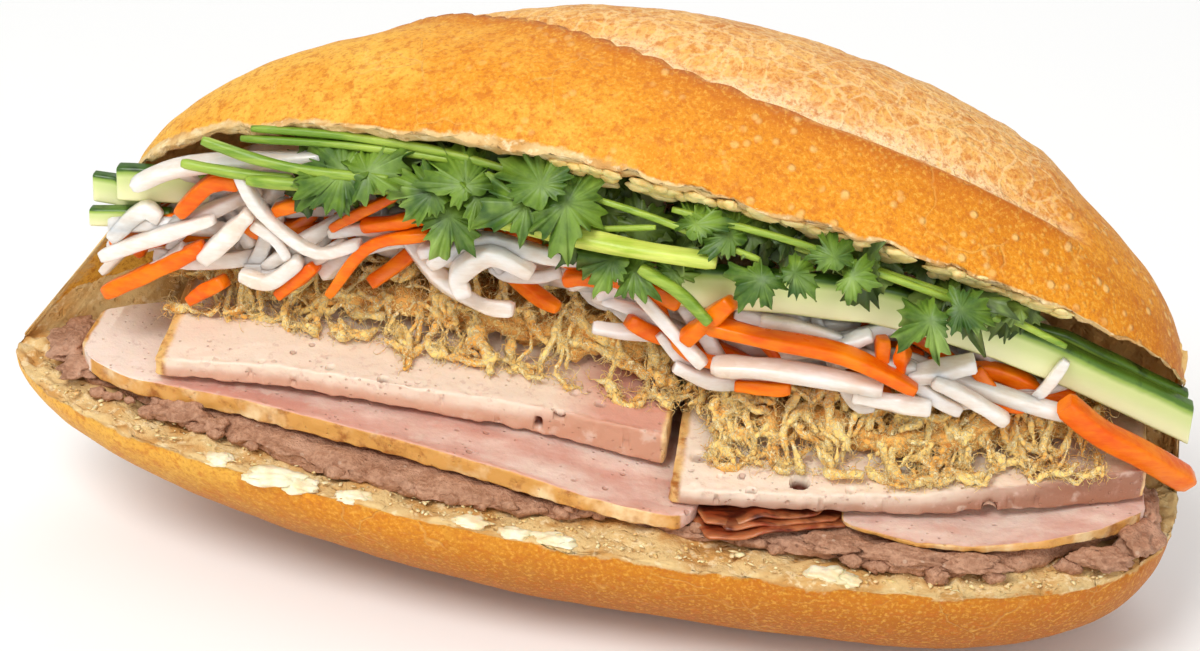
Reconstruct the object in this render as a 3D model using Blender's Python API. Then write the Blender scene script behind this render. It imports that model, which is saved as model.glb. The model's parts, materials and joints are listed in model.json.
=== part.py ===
"""Banh mi sandwich: a crusty roll slit along its front, opened like a clam, and filled.

Metres, +Z up. X runs along the roll, the open side faces -Y, and the roll rests on the
flat of its base at Z = 0. Every filling is a solid of its own between the two cut faces.
"""
import math

import bmesh
import bpy
from mathutils import Matrix, Vector, noise

# ---- the roll, before it is opened
HALF_LENGTH = 0.110
LOWER_HALF_WIDTH = 0.0422
LOWER_HEIGHT = 0.0265
BASE_FULLNESS = 0.0015
LOWER_TILT = -0.0039
LOWER_BOW = 0.0027
LOWER_OUTLINE = (1.80, 5.5, 0.094)
UPPER_HALF_WIDTH = 0.0424
UPPER_HEIGHT = 0.040
UPPER_OUTLINE = (1.75, 2.32, 0.05)
CROWN_POWER = 0.9
WALL_SHARE = 0.2
ROLL_SEGMENTS = 46
ROLL_RINGS = 30

# ---- the slit and the hinge behind it
HINGE_Y = 0.042
HINGE_Z = 0.0374
SLIT_DEPTH = 0.030
SLIT_PASS = 0.001
SLIT_SHAVE = 0.0006
SLIT_ROWS = 9
TIP_SHARE = 0.98
HOLLOW_SHARE = 0.26
HOLLOW_END_SHARE = 0.72
HOLLOW_OFFSET = 0.035
HOLLOW_RIM = 0.005
HOLLOW_END_RIM = 0.002

# ---- how far the upper half is opened
OPENING = math.radians(39.0)
OPENING_TWIST = math.radians(-14.3)
OPENING_FLARE = math.radians(14.7)
UPPER_MIDDLE = 0.0097
UPPER_HALF_LENGTH = 0.0977
UPPER_DROOP = -0.020

# ---- the baker's cut along the crown
SLASH_START = -0.62
SLASH_END = 0.80
SLASH_ANGLE = math.radians(28.0)
SLASH_SWEEP = math.radians(46.0)
SLASH_DEPTH = 0.0022
SLASH_SWELL = 0.0016

GAP = 0.0004
COLLECTION = "banh_mi_sandwich"


# ---------------------------------------------------------------- small helpers
def clamp(value, low, high):
    return max(low, min(high, value))


def smooth_step(low, high, value):
    t = clamp((value - low) / (high - low), 0.0, 1.0)
    return t * t * (3.0 - 2.0 * t)


def mix(a, b, t):
    return a + (b - a) * t


def along(stations, x):
    """A value read from a few (x, value) stations, joined by straight runs."""
    if x <= stations[0][0]:
        return stations[0][1]
    for (x0, a), (x1, b) in zip(stations, stations[1:]):
        if x <= x1:
            return mix(a, b, (x - x0) / (x1 - x0))
    return stations[-1][1]


def clear_scene():
    for old in list(bpy.data.objects):
        bpy.data.objects.remove(old, do_unlink=True)


def collection(name):
    found = bpy.data.collections.get(name) or bpy.data.collections.new(name)
    if name not in bpy.context.scene.collection.children:
        bpy.context.scene.collection.children.link(found)
    return found


def material(name, colour, roughness):
    made = bpy.data.materials.new(name)
    made.use_nodes = True
    shader = made.node_tree.nodes["Principled BSDF"]
    shader.inputs["Base Color"].default_value = (*colour, 1.0)
    shader.inputs["Roughness"].default_value = roughness
    shader.inputs["Metallic"].default_value = 0.0
    made.diffuse_color = (*colour, 1.0)
    return made


def face_outwards(bm):
    bmesh.ops.recalc_face_normals(bm, faces=bm.faces)
    if bm.calc_volume(signed=True) < 0.0:
        bmesh.ops.reverse_faces(bm, faces=bm.faces)


def add_object(name, bm, finish, home=COLLECTION):
    face_outwards(bm)
    mesh = bpy.data.meshes.new(name)
    bm.to_mesh(mesh)
    bm.free()
    mesh.shade_smooth()
    mesh.set_sharp_from_angle(angle=math.radians(40.0))
    mesh.materials.append(finish)
    made = bpy.data.objects.new(name, mesh)
    collection(home).objects.link(made)
    return made


def apply_boolean(target, cutter, operation):
    """Cut or join, keep the result as the target's own mesh, and remove the other."""
    step = target.modifiers.new("cut", "BOOLEAN")
    step.object = cutter
    step.operation = operation
    step.solver = "EXACT"
    graph = bpy.context.evaluated_depsgraph_get()
    result = bpy.data.meshes.new_from_object(target.evaluated_get(graph), depsgraph=graph)
    target.modifiers.remove(step)
    old = target.data
    target.data = result
    bpy.data.meshes.remove(old)
    spent = cutter.data
    bpy.data.objects.remove(cutter)
    bpy.data.meshes.remove(spent)


# ---------------------------------------------------------------- the roll's form
def outline(s, shape):
    """Half-width of the loaf, as a share of its widest, at s from tip (-1) to tip (1)."""
    left, right, skew = shape
    power = left if s < 0 else right
    return math.sqrt(max(0.0, 1.0 - abs(s) ** power)) * (1.0 + skew * s * (1.0 - s * s))


def share(x):
    return clamp(x / HALF_LENGTH, -1.0, 1.0)


def cut_height(x):
    """Height of the lower cut face."""
    s = share(x)
    return LOWER_HEIGHT + LOWER_TILT * s + LOWER_BOW * s * s


def wall_height(x):
    """Height of the uncut wall between the two halves, which runs out at the tips."""
    s = share(x)
    return (HINGE_Z - cut_height(x)) * (1.0 - s * s) ** 0.5


def slit_back(x):
    """How far back the slit reaches."""
    s = abs(share(x))
    return SLIT_DEPTH * (1.0 - s ** 2.2) ** 0.75 + SLIT_PASS


def slash_angle(s):
    """Where the baker's cut lies round the crown: 0 is the front, a quarter turn the top."""
    return SLASH_ANGLE + SLASH_SWEEP * max(0.0, (0.3 - s) / 0.92) ** 1.6


def slash_strength(s):
    return smooth_step(SLASH_START, SLASH_START + 0.2, s) * smooth_step(SLASH_END, SLASH_END - 0.12, s)


def slash_relief(s, angle):
    """Sharp lip, a step down behind it, then the swollen crust of the opened cut."""
    behind = angle - slash_angle(s)
    step = smooth_step(0.0, math.radians(3.0), behind) * smooth_step(
        math.radians(16.0), math.radians(5.0), behind)
    swell = smooth_step(math.radians(10.0), math.radians(30.0), behind) * smooth_step(
        math.radians(90.0), math.radians(45.0), behind)
    return slash_strength(s) * (SLASH_SWELL * swell - SLASH_DEPTH * step)


def ring_angle(angle, s):
    """Turn a ring's angle so that its columns follow the lips of the slit and the baker's cut."""
    column = 2 * math.pi / ROLL_SEGMENTS
    lip = math.asin(WALL_SHARE)
    if angle <= 0.0:
        return along([(-math.pi, -math.pi), (-2 * column, -2 * column), (-column, -lip), (0.0, 0.0)], angle)
    follow = smooth_step(-0.98, -0.45, s)
    edges = [(4, 0.0), (5, math.radians(4.0)), (7, math.radians(15.0))]
    marks = [(number * column, mix(number * column, slash_angle(s) + behind, follow))
             for number, behind in edges]
    return along([(0.0, 0.0), (column, lip)] + marks + [(math.pi, math.pi)], angle)


def closed_point(s, turn):
    """Surface of the unopened roll; turn is 0 at the front and grows over the top."""
    lower = outline(s, LOWER_OUTLINE)
    upper = outline(s, UPPER_OUTLINE)
    x = HALF_LENGTH * s
    up = math.sin(turn)
    rise = max(0.0, abs(up) - WALL_SHARE) / (1.0 - WALL_SHARE)
    forward = -math.cos(turn)
    wall = wall_height(x)
    if abs(up) <= WALL_SHARE:
        level = (up / WALL_SHARE + 1.0) / 2.0
        width = mix(LOWER_HALF_WIDTH * lower, UPPER_HALF_WIDTH * upper, level)
        return Vector((x, width * math.copysign(1.0, forward), cut_height(x) + wall * level))
    across = math.copysign(math.sqrt(max(0.0, 1.0 - rise * rise)), forward)
    if up < 0.0:
        drop = (LOWER_HEIGHT + BASE_FULLNESS) * lower ** CROWN_POWER * rise
        return Vector((x, LOWER_HALF_WIDTH * lower * across, max(0.0, cut_height(x) - drop)))
    relief = slash_relief(s, math.atan2(rise, -across))
    crown = UPPER_HEIGHT * upper ** CROWN_POWER
    return Vector((x, (UPPER_HALF_WIDTH * upper + relief) * across,
                   cut_height(x) + wall + (crown + relief) * rise))


def opened(point):
    """Carry a point of the unopened roll to its place in the opened one."""
    x, y, z = point
    s = share(x)
    middle = cut_height(x) + wall_height(x) / 2
    lift = math.atan2(z - middle, y - slit_back(x))
    part = smooth_step(-math.pi / 3, math.pi / 3, lift)
    angle = opening(UPPER_MIDDLE + UPPER_HALF_LENGTH * s)
    reach = y - HINGE_Y
    height = z - cut_height(x) - wall_height(x) + UPPER_DROOP * s * s
    above = Vector((UPPER_MIDDLE + UPPER_HALF_LENGTH * s,
                    HINGE_Y + reach * math.cos(angle) + height * math.sin(angle),
                    HINGE_Z - reach * math.sin(angle) + height * math.cos(angle)))
    return Vector(point).lerp(above, part)


def opening(x):
    s = x / HALF_LENGTH
    return OPENING + OPENING_TWIST * s + OPENING_FLARE * s * s


def make_roll(finish):
    bm = bmesh.new()
    bmesh.ops.create_uvsphere(bm, u_segments=ROLL_SEGMENTS, v_segments=ROLL_RINGS, radius=1.0)
    bmesh.ops.rotate(bm, verts=bm.verts, matrix=Matrix.Rotation(math.pi / 2, 3, "Y"))
    for vert in bm.verts:
        s = clamp(vert.co.x, -1.0, 1.0)
        turn = math.atan2(vert.co.z, -vert.co.y)
        vert.co = closed_point(s, ring_angle(turn, s))
    bmesh.ops.triangulate(bm, faces=bm.faces)
    roll = add_object("roll", bm, finish)
    apply_boolean(roll, make_slit(finish), "DIFFERENCE")
    bm = bmesh.new()
    bm.from_mesh(roll.data)
    tip = TIP_SHARE * HALF_LENGTH
    ragged = [f for f in bm.faces if len(f.verts) > 4 and abs(f.calc_center_median().x) > tip]
    bmesh.ops.poke(bm, faces=ragged)
    bmesh.ops.triangulate(bm, faces=bm.faces, ngon_method="EAR_CLIP")
    bmesh.ops.remove_doubles(bm, verts=bm.verts, dist=0.0000001)
    for vert in bm.verts:
        vert.co = opened(vert.co)
    bm.to_mesh(roll.data)
    bm.free()
    roll.data.shade_smooth()
    roll.data.set_sharp_from_angle(angle=math.radians(40.0))
    return roll


def hollow_half(x):
    """Half the width of the hollow in the upper half."""
    s = share(x)
    return max(0.0, UPPER_HALF_WIDTH * outline(s, UPPER_OUTLINE) - mix(HOLLOW_RIM, HOLLOW_END_RIM, s * s))


def hollow(x, y):
    """How deep the upper half is hollowed above its cut face."""
    half = hollow_half(x)
    if half == 0.0:
        return 0.0
    s = share(x)
    across = y / half + HOLLOW_OFFSET
    crown = UPPER_HEIGHT * outline(s, UPPER_OUTLINE) ** CROWN_POWER
    return crown * mix(HOLLOW_SHARE, HOLLOW_END_SHARE, s * s) * max(0.0, 1.0 - across * across) ** 0.6


def slit_rows(x):
    """Where the rows of the slit lie: outside the roll, just outside its lip, then over the hollow."""
    lip = -UPPER_HALF_WIDTH * outline(share(x), UPPER_OUTLINE) - SLIT_SHAVE
    edge = -(1.0 + HOLLOW_OFFSET) * hollow_half(x)
    inner = SLIT_ROWS - 2
    return [-1.25 * LOWER_HALF_WIDTH, lip] + [mix(edge, slit_back(x), step / inner)
                                              for step in range(inner + 1)]


def make_slit(finish):
    """The slab that is cut away: flat below, domed above, curved along its back edge."""
    bm = bmesh.new()
    bmesh.ops.create_grid(bm, x_segments=ROLL_RINGS, y_segments=SLIT_ROWS, size=1.0)
    lower = list(bm.faces)
    grown = bmesh.ops.extrude_face_region(bm, geom=lower, use_keep_orig=True)
    upper = {item for item in grown["geom"] if isinstance(item, bmesh.types.BMVert)}
    for vert in bm.verts:
        x = HALF_LENGTH * math.sin(vert.co.x * math.pi / 2)
        if abs(vert.co.x) > 0.999:
            x *= 1.02
        y = slit_rows(x)[round((vert.co.y + 1.0) / 2 * SLIT_ROWS)]
        z = cut_height(x) - SLIT_SHAVE
        if vert in upper:
            z = cut_height(x) + wall_height(x) + SLIT_SHAVE + hollow(x, y)
        vert.co = (x, y, z)
    slit = add_object("slit", bm, finish, "cutters")
    slit.hide_render = True
    slit.display_type = "WIRE"
    return slit


# ---------------------------------------------------------------- slices
class Slice:
    """A long slab: the run of its front and back edges, its base, its thickness and its climb."""

    def __init__(self, front, back, base, thick, rise, corner=0.004):
        self.front = front
        self.back = back
        self.base = base
        self.thick = thick
        self.rise = rise
        self.corner = corner
        self.start = front[0][0]
        self.end = front[-1][0]
        self.depth = along(back, (self.start + self.end) / 2) - along(front, (self.start + self.end) / 2)

    def place(self, x, deep, high):
        """deep runs from 0 at the front edge to 1 at the back, high from 0 below to 1 above."""
        front = along(self.front, x)
        y = mix(front, along(self.back, x), deep)
        z = along(self.base, x) + self.rise * (y - front) + high * along(self.thick, x)
        return Vector((x, y, z))

    def top(self, x, y):
        return along(self.base, x) + self.rise * (y - along(self.front, x)) + along(self.thick, x)


FRIED_LEFT = Slice(
    front=[(-0.0950, -0.0110), (-0.0925, -0.0140), (-0.0828, -0.0185), (-0.064, -0.0215), (-0.039, -0.0265),
           (-0.016, -0.0308), (0.004, -0.0345), (0.0235, -0.0355)],
    back=[(-0.095, 0.0050), (-0.080, 0.0125), (-0.060, 0.0185), (0.0235, 0.0190)],
    base=[(-0.095, 0.0350), (-0.085, 0.0336), (-0.062, 0.0332), (-0.031, 0.0317), (-0.010, 0.0300),
          (0.012, 0.0276), (0.0235, 0.0272)],
    thick=[(-0.095, 0.0034), (-0.06, 0.0042), (-0.01, 0.0042), (0.012, 0.0035), (0.0235, 0.0030)],
    rise=0.05, corner=0.006)
PORK_LEFT = Slice(
    front=[(-0.0785, -0.0185), (-0.055, -0.0188), (-0.031, -0.0195), (-0.009, -0.0195), (0.0164, -0.0215)],
    back=[(-0.0785, 0.0110), (-0.060, 0.0170), (-0.031, 0.0205), (0.0164, 0.0180)],
    base=[(-0.0785, 0.0382), (-0.055, 0.0386), (-0.031, 0.0371), (-0.009, 0.0352), (0.0164, 0.0322)],
    thick=[(-0.0785, 0.0036), (-0.055, 0.0045), (-0.031, 0.0050), (0.0164, 0.0066)],
    rise=0.20, corner=0.0012)
PORK_RIGHT = Slice(
    front=[(0.0180, -0.0320), (0.040, -0.0306), (0.061, -0.0278), (0.083, -0.0235), (0.1020, -0.0165)],
    back=[(0.0180, 0.0180), (0.061, 0.0145), (0.083, 0.0080), (0.1020, 0.0000)],
    base=[(0.0180, 0.0309), (0.040, 0.0314), (0.061, 0.0315), (0.083, 0.0327), (0.1020, 0.0333)],
    thick=[(0.0180, 0.0032), (0.040, 0.0034), (0.061, 0.0043), (0.083, 0.0055), (0.1020, 0.0062)],
    rise=0.20, corner=0.0012)
FRIED_RIGHT = Slice(
    front=[(0.0485, -0.0310), (0.062, -0.0350), (0.072, -0.0345), (0.084, -0.0315), (0.094, -0.0265),
           (0.1025, -0.0190)],
    back=[(0.0485, 0.0060), (0.084, 0.0040), (0.1025, -0.0040)],
    base=[(0.0485, 0.0294), (0.075, 0.0292), (0.1025, 0.0295)],
    thick=[(0.0485, 0.0009), (0.072, 0.0012), (0.090, 0.0027), (0.1025, 0.0032)],
    rise=0.03, corner=0.003)
RED_SLICES = Slice(
    front=[(0.0245, -0.0360), (0.036, -0.0352), (0.0478, -0.0325)],
    back=[(0.0245, -0.0080), (0.0478, -0.0080)],
    base=[(0.0245, 0.0292), (0.036, 0.0292), (0.0478, 0.0293)],
    thick=[(0.0245, 0.0010), (0.036, 0.0012), (0.0478, 0.0010)],
    rise=0.03, corner=0.0018)


def make_slice(name, form, finish, cuts=10, edge=0.0006):
    """A box with rounded corners in plan and softened edges, bent to the slice's run."""
    length = form.end - form.start
    thick = form.thick[len(form.thick) // 2][1]
    bm = bmesh.new()
    bmesh.ops.create_cube(bm, size=1.0)
    bmesh.ops.translate(bm, verts=bm.verts, vec=(0.5, 0.5, 0.5))
    bmesh.ops.scale(bm, verts=bm.verts, vec=(length, form.depth, thick))
    upright = [e for e in bm.edges if abs(e.verts[0].co.z - e.verts[1].co.z) > thick / 2]
    bmesh.ops.bevel(bm, geom=upright, offset=form.corner, offset_type="OFFSET", segments=3, profile=0.5,
                    affect="EDGES", material=-1)
    rims = [e for e in bm.edges if abs(e.verts[0].co.z - e.verts[1].co.z) < thick / 4 and e.is_manifold
            and e.calc_face_angle(0.0) > 1.0]
    bmesh.ops.bevel(bm, geom=rims, offset=min(edge, thick * 0.3), offset_type="OFFSET", segments=1,
                    profile=0.5, affect="EDGES", material=-1)
    cut_across(bm, length, cuts)
    for vert in bm.verts:
        vert.co = form.place(form.start + vert.co.x, vert.co.y / form.depth, vert.co.z / thick)
    return add_object(name, bm, finish)


def cut_across(bm, length, cuts):
    """Divide a long box into equal lengths, so that it can be bent."""
    for step in range(1, cuts):
        geom = bm.verts[:] + bm.edges[:] + bm.faces[:]
        bmesh.ops.bisect_plane(bm, geom=geom, dist=0.00002, plane_co=(length * step / cuts, 0.0, 0.0),
                               plane_no=(1.0, 0.0, 0.0))
    bmesh.ops.triangulate(bm, faces=bm.faces)


# ---------------------------------------------------------------- heaps
def make_pillow(name, finish, reach, front, back, under, over, lump, seed, detail=(18, 16), square=0.7):
    """A lumpy heap between an under surface and an over surface, rounded off at its rim."""
    bm = bmesh.new()
    bmesh.ops.create_uvsphere(bm, u_segments=detail[0], v_segments=detail[1], radius=1.0)
    bmesh.ops.rotate(bm, verts=bm.verts, matrix=Matrix.Rotation(math.pi / 2, 3, "Y"))
    left, right = reach
    for vert in bm.verts:
        s = clamp(vert.co.x, -1.0, 1.0)
        ring = math.hypot(vert.co.y, vert.co.z)
        c, t = (vert.co.y / ring, vert.co.z / ring) if ring > 1e-6 else (0.0, 0.0)
        c = math.copysign(abs(c) ** square, c)
        t = math.copysign(abs(t) ** square, t)
        x = mix(left, right, (s + 1.0) / 2)
        close = (1.0 - abs(s) ** 5) ** 0.5 if abs(s) < 1.0 else 0.0
        y = mix(front(x), back(x), 0.5 + 0.5 * c * close)
        swing = min(lump, 0.12 * (back(x) - front(x)))
        low, high = under(x, y), over(x, y)
        rough = lump * noise.noise(Vector((x, y, t * 0.01)) * 150.0 + Vector((seed, 0.0, 0.0)))
        level = clamp(mix(low, high, 0.5 + 0.5 * t * close) + rough * close, low, high)
        y_rough = swing * noise.noise(Vector((x, y, t * 0.01)) * 170.0 + Vector((0.0, seed, 0.0)))
        vert.co = (x, y + y_rough * close, level)
    bmesh.ops.triangulate(bm, faces=bm.faces)
    return add_object(name, bm, finish)


PATE_THICK = [(-0.100, 0.0026), (-0.085, 0.0017), (-0.075, 0.0020), (-0.060, 0.0031), (-0.015, 0.0030),
              (0.005, 0.0012), (0.024, 0.0012), (0.035, 0.0030), (0.100, 0.0034)]


def pate_top(x):
    return cut_height(x) + along(PATE_THICK, x)


def make_pate(finish):
    def half(x):
        inset = 0.0065 + 0.004 * math.exp(-((x - 0.012) / 0.020) ** 2)
        return LOWER_HALF_WIDTH * outline(share(x), LOWER_OUTLINE) - inset

    def under(x, y):
        return cut_height(x) - SLIT_SHAVE + GAP

    def back(x):
        return max(min(half(x), slit_back(x) - 0.003), 0.002)

    def over(x, y):
        return pate_top(x)

    return make_pillow("pate", finish, (-0.1005, 0.1040), lambda x: -max(half(x), 0.004), back,
                       under, over, 0.0012, 3.0, (22, 18), 0.5)


def slices_top(x, y):
    """The highest of the slices under a point."""
    levels = [pate_top(x)]
    for form in (FRIED_LEFT, PORK_LEFT, PORK_RIGHT, FRIED_RIGHT):
        if form.start - 0.006 <= x <= form.end + 0.006:
            levels.append(form.top(x, y))
    return max(levels)


def ceiling(x, y):
    """Height of the hollowed upper cut face over a point."""
    angle = opening(x)
    s = clamp((x - UPPER_MIDDLE) / UPPER_HALF_LENGTH, -1.0, 1.0)
    lift = UPPER_DROOP * s * s
    for _ in range(3):
        closed_y = HINGE_Y - (HINGE_Y - y + lift * math.sin(angle)) / math.cos(angle)
        lift = UPPER_DROOP * s * s + hollow(HALF_LENGTH * s, closed_y)
    return HINGE_Z + (HINGE_Y - closed_y) * math.sin(angle) + lift * math.cos(angle)


FLOSS_TOP = [(-0.088, 0.0480), (-0.070, 0.0555), (-0.025, 0.0560), (0.004, 0.0560), (0.016, 0.0515),
             (0.026, 0.0475), (0.058, 0.0480), (0.080, 0.0515), (0.096, 0.0480)]
FLOSS_LEFT_FRONT = [(-0.080, 0.0000), (-0.055, -0.0045), (-0.025, -0.0065), (0.0225, -0.0120)]
FLOSS_RIGHT_FRONT = [(0.0245, -0.0200), (0.058, -0.0225), (0.0930, -0.0160)]
FLOSS_DEPTH = 0.028
PICKLE_TOP = [(-0.098, 0.0560), (-0.086, 0.0620), (-0.070, 0.0680), (-0.030, 0.0715), (0.006, 0.0710),
              (0.0145, 0.0640), (0.020, 0.0630), (0.043, 0.0620), (0.070, 0.0550), (0.086, 0.0500),
              (0.098, 0.0450)]
PICKLE_CLIMB = 0.010
PICKLE_FRONT = [(-0.098, 0.0080), (-0.080, 0.0035), (-0.072, 0.0018), (-0.060, -0.0045),
                (-0.030, -0.0090), (0.0, -0.0130),
                (0.030, -0.0185), (0.060, -0.0185), (0.080, -0.0150), (0.098, -0.0040)]


def floss_over(x, y):
    return max(min(along(FLOSS_TOP, x), ceiling(x, y) - 0.004), slices_top(x, y) + 0.0012)


def make_floss(name, front, seed, finish):
    def under(x, y):
        return slices_top(x, y) + 2 * GAP

    def over(x, y):
        return floss_over(x, y) - GAP

    def back(x):
        return min(along(front, x) + FLOSS_DEPTH, slit_back(x) - 0.005)

    return make_pillow(name, finish, (front[0][0], front[-1][0]), lambda x: along(front, x), back,
                       under, over, 0.0022, seed)


def stick(name, points, width, finish):
    """A cut stick: a bent, rounded rod through a few points, capped at both ends."""
    curve = bpy.data.curves.new(name, "CURVE")
    curve.dimensions = "3D"
    curve.bevel_depth = width / 2
    curve.bevel_resolution = 1
    curve.resolution_u = 3
    curve.use_fill_caps = True
    spline = curve.splines.new("BEZIER")
    spline.bezier_points.add(len(points) - 1)
    for handle, point in zip(spline.bezier_points, points):
        handle.co = point
        handle.handle_left_type = "AUTO"
        handle.handle_right_type = "AUTO"
    holder = bpy.data.objects.new(name + "_path", curve)
    collection(COLLECTION).objects.link(holder)
    graph = bpy.context.evaluated_depsgraph_get()
    mesh = bpy.data.meshes.new_from_object(holder.evaluated_get(graph), depsgraph=graph)
    bpy.data.objects.remove(holder)
    bm = bmesh.new()
    bm.from_mesh(mesh)
    bpy.data.meshes.remove(mesh)
    bmesh.ops.remove_doubles(bm, verts=bm.verts, dist=0.00001)
    bmesh.ops.triangulate(bm, faces=bm.faces)
    return add_object(name, bm, finish)


# Sticks that stand out of the heap: x, direction, length, and height as a share of the heap.
STRAYS = [(-0.074, math.radians(196), 0.014, 0.20), (-0.062, math.radians(24), 0.017, 0.55),
          (-0.052, math.radians(-62), 0.014, 0.75), (-0.036, math.radians(18), 0.020, 0.70),
          (-0.012, math.radians(-8), 0.018, 0.40), (0.006, math.radians(-52), 0.020, 0.55),
          (0.030, math.radians(-18), 0.026, 0.70), (0.052, math.radians(-24), 0.014, 0.75)]


def make_pickles(finish):
    def under(x, y):
        return max(floss_over(x, y), slices_top(x, y)) + GAP

    def over(x, y):
        top = along(PICKLE_TOP, x) + PICKLE_CLIMB * smooth_step(0.001, 0.010, y)
        return max(min(top, ceiling(x, y) - 0.002), under(x, y) + 0.0010)

    def back(x):
        return slit_back(x) - 0.0060

    heap = make_pillow("pickles", finish, (-0.090, 0.092), lambda x: along(PICKLE_FRONT, x), back,
                       under, over, 0.0030, 11.0, (16, 18))
    for number, (x, turn, length, lift) in enumerate(STRAYS):
        y = along(PICKLE_FRONT, x)
        z = mix(floss_over(x, y), along(PICKLE_TOP, x), lift)
        run = Vector((math.cos(turn), -0.30, math.sin(turn))) * length
        start = Vector((x, y + 0.006, z))
        middle = start + run * 0.5 + Vector((0.0, -0.0060, 0.001))
        piece = stick("stray_%d" % number, [start, middle, start + run], 0.0042, finish)
        apply_boolean(heap, piece, "UNION")
    tidy_union(heap)
    return heap


def tidy_union(target):
    bm = bmesh.new()
    bm.from_mesh(target.data)
    bmesh.ops.triangulate(bm, faces=bm.faces)
    bmesh.ops.remove_doubles(bm, verts=bm.verts, dist=0.00001)
    bmesh.ops.dissolve_degenerate(bm, edges=bm.edges, dist=0.00001)
    bmesh.ops.triangulate(bm, faces=bm.faces)
    face_outwards(bm)
    bm.to_mesh(target.data)
    bm.free()


# ---------------------------------------------------------------- cucumber and greens
def make_cucumber(name, top_edge, height, thick, finish, cuts=6):
    """A lengthwise slice standing on edge: its skin is the upper edge, its cut face the front."""
    bm = bmesh.new()
    bmesh.ops.create_cube(bm, size=1.0)
    bmesh.ops.translate(bm, verts=bm.verts, vec=(0.5, 0.5, -0.5))
    length = top_edge[-1][0] - top_edge[0][0]
    bmesh.ops.scale(bm, verts=bm.verts, vec=(length, thick, height))
    rims = [e for e in bm.edges if abs(e.verts[0].co.x - e.verts[1].co.x) > length / 2]
    bmesh.ops.bevel(bm, geom=rims, offset=thick * 0.22, offset_type="OFFSET", segments=1, profile=0.5,
                    affect="EDGES", material=-1)
    cut_across(bm, length, cuts)
    for vert in bm.verts:
        along_x, across, down = vert.co
        x = top_edge[0][0] + along_x
        y = along([(p[0], p[1]) for p in top_edge], x)
        z = along([(p[0], p[2]) for p in top_edge], x)
        vert.co = (x, y + across, z + down)
    return add_object(name, bm, finish)


CUCUMBERS = {
    "cucumber_right_front": dict(
        top_edge=[(0.0157, -0.0195, 0.0712), (0.035, -0.0205, 0.0722), (0.0496, -0.0205, 0.0722),
                  (0.0607, -0.0200, 0.0702), (0.072, -0.0190, 0.0671), (0.085, -0.0168, 0.0618),
                  (0.096, -0.0142, 0.0563), (0.1088, -0.0100, 0.0492)],
        height=0.0078, thick=0.0034),
    "cucumber_right_back": dict(
        top_edge=[(0.040, -0.0150, 0.0740), (0.060, -0.0150, 0.0700), (0.072, -0.0145, 0.0658),
                  (0.085, -0.0128, 0.0625), (0.096, -0.0104, 0.0568), (0.1080, -0.0062, 0.0500)],
        height=0.0080, thick=0.0024),
    "cucumber_left_front": dict(
        top_edge=[(-0.0889, -0.0036, 0.0722), (-0.080, -0.0036, 0.0728), (-0.0715, -0.0036, 0.0731)],
        height=0.0068, thick=0.0028),
    "cucumber_left_back": dict(
        top_edge=[(-0.0944, -0.0004, 0.0690), (-0.0900, -0.0004, 0.0686), (-0.0870, -0.0005, 0.0663),
                  (-0.082, -0.0006, 0.0656)],
        height=0.0056, thick=0.0024),
    "cucumber_left_low": dict(
        top_edge=[(-0.0944, -0.0034, 0.0632), (-0.086, -0.0034, 0.0640), (-0.079, -0.0036, 0.0646)],
        height=0.0036, thick=0.0028),
    "cucumber_middle": dict(
        top_edge=[(-0.045, -0.0040, 0.0835), (-0.010, -0.0085, 0.0835), (0.012, -0.0105, 0.0820)],
        height=0.0080, thick=0.0034),
}

CILANTRO_FRONT = [(-0.062, -0.0080), (-0.030, -0.0135), (0.0, -0.0185), (0.030, -0.0205), (0.060, -0.0180),
                  (0.078, -0.0140)]
CILANTRO_TOP = [(-0.062, 0.0785), (-0.030, 0.0815), (0.0, 0.0830), (0.030, 0.0800), (0.060, 0.0745),
                (0.078, 0.0690)]
CILANTRO_LOW = [(-0.062, 0.0735), (-0.030, 0.0740), (0.0, 0.0735), (0.014, 0.0735), (0.030, 0.0755),
                (0.055, 0.0745), (0.078, 0.0670)]


def make_cilantro(finish):
    def under(x, y):
        return along(CILANTRO_LOW, x)

    def over(x, y):
        return max(min(along(CILANTRO_TOP, x), ceiling(x, y) - 0.001), under(x, y) + 0.001)

    return make_pillow("cilantro", finish, (-0.062, 0.078), lambda x: along(CILANTRO_FRONT, x),
                       lambda x: along(CILANTRO_FRONT, x) + 0.0065, under, over, 0.0025, 23.0, (14, 20))


GREEN_STALK = [(-0.0190, -0.0185, 0.0770), (-0.006, -0.0215, 0.0768), (0.008, -0.0245, 0.0765),
               (0.0230, -0.0255, 0.0760)]
CARROT_RIGHT = [(0.0850, -0.0215, 0.0535), (0.0920, -0.0200, 0.0478), (0.1002, -0.0178, 0.0431),
                (0.1095, -0.0130, 0.0360)]


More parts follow.
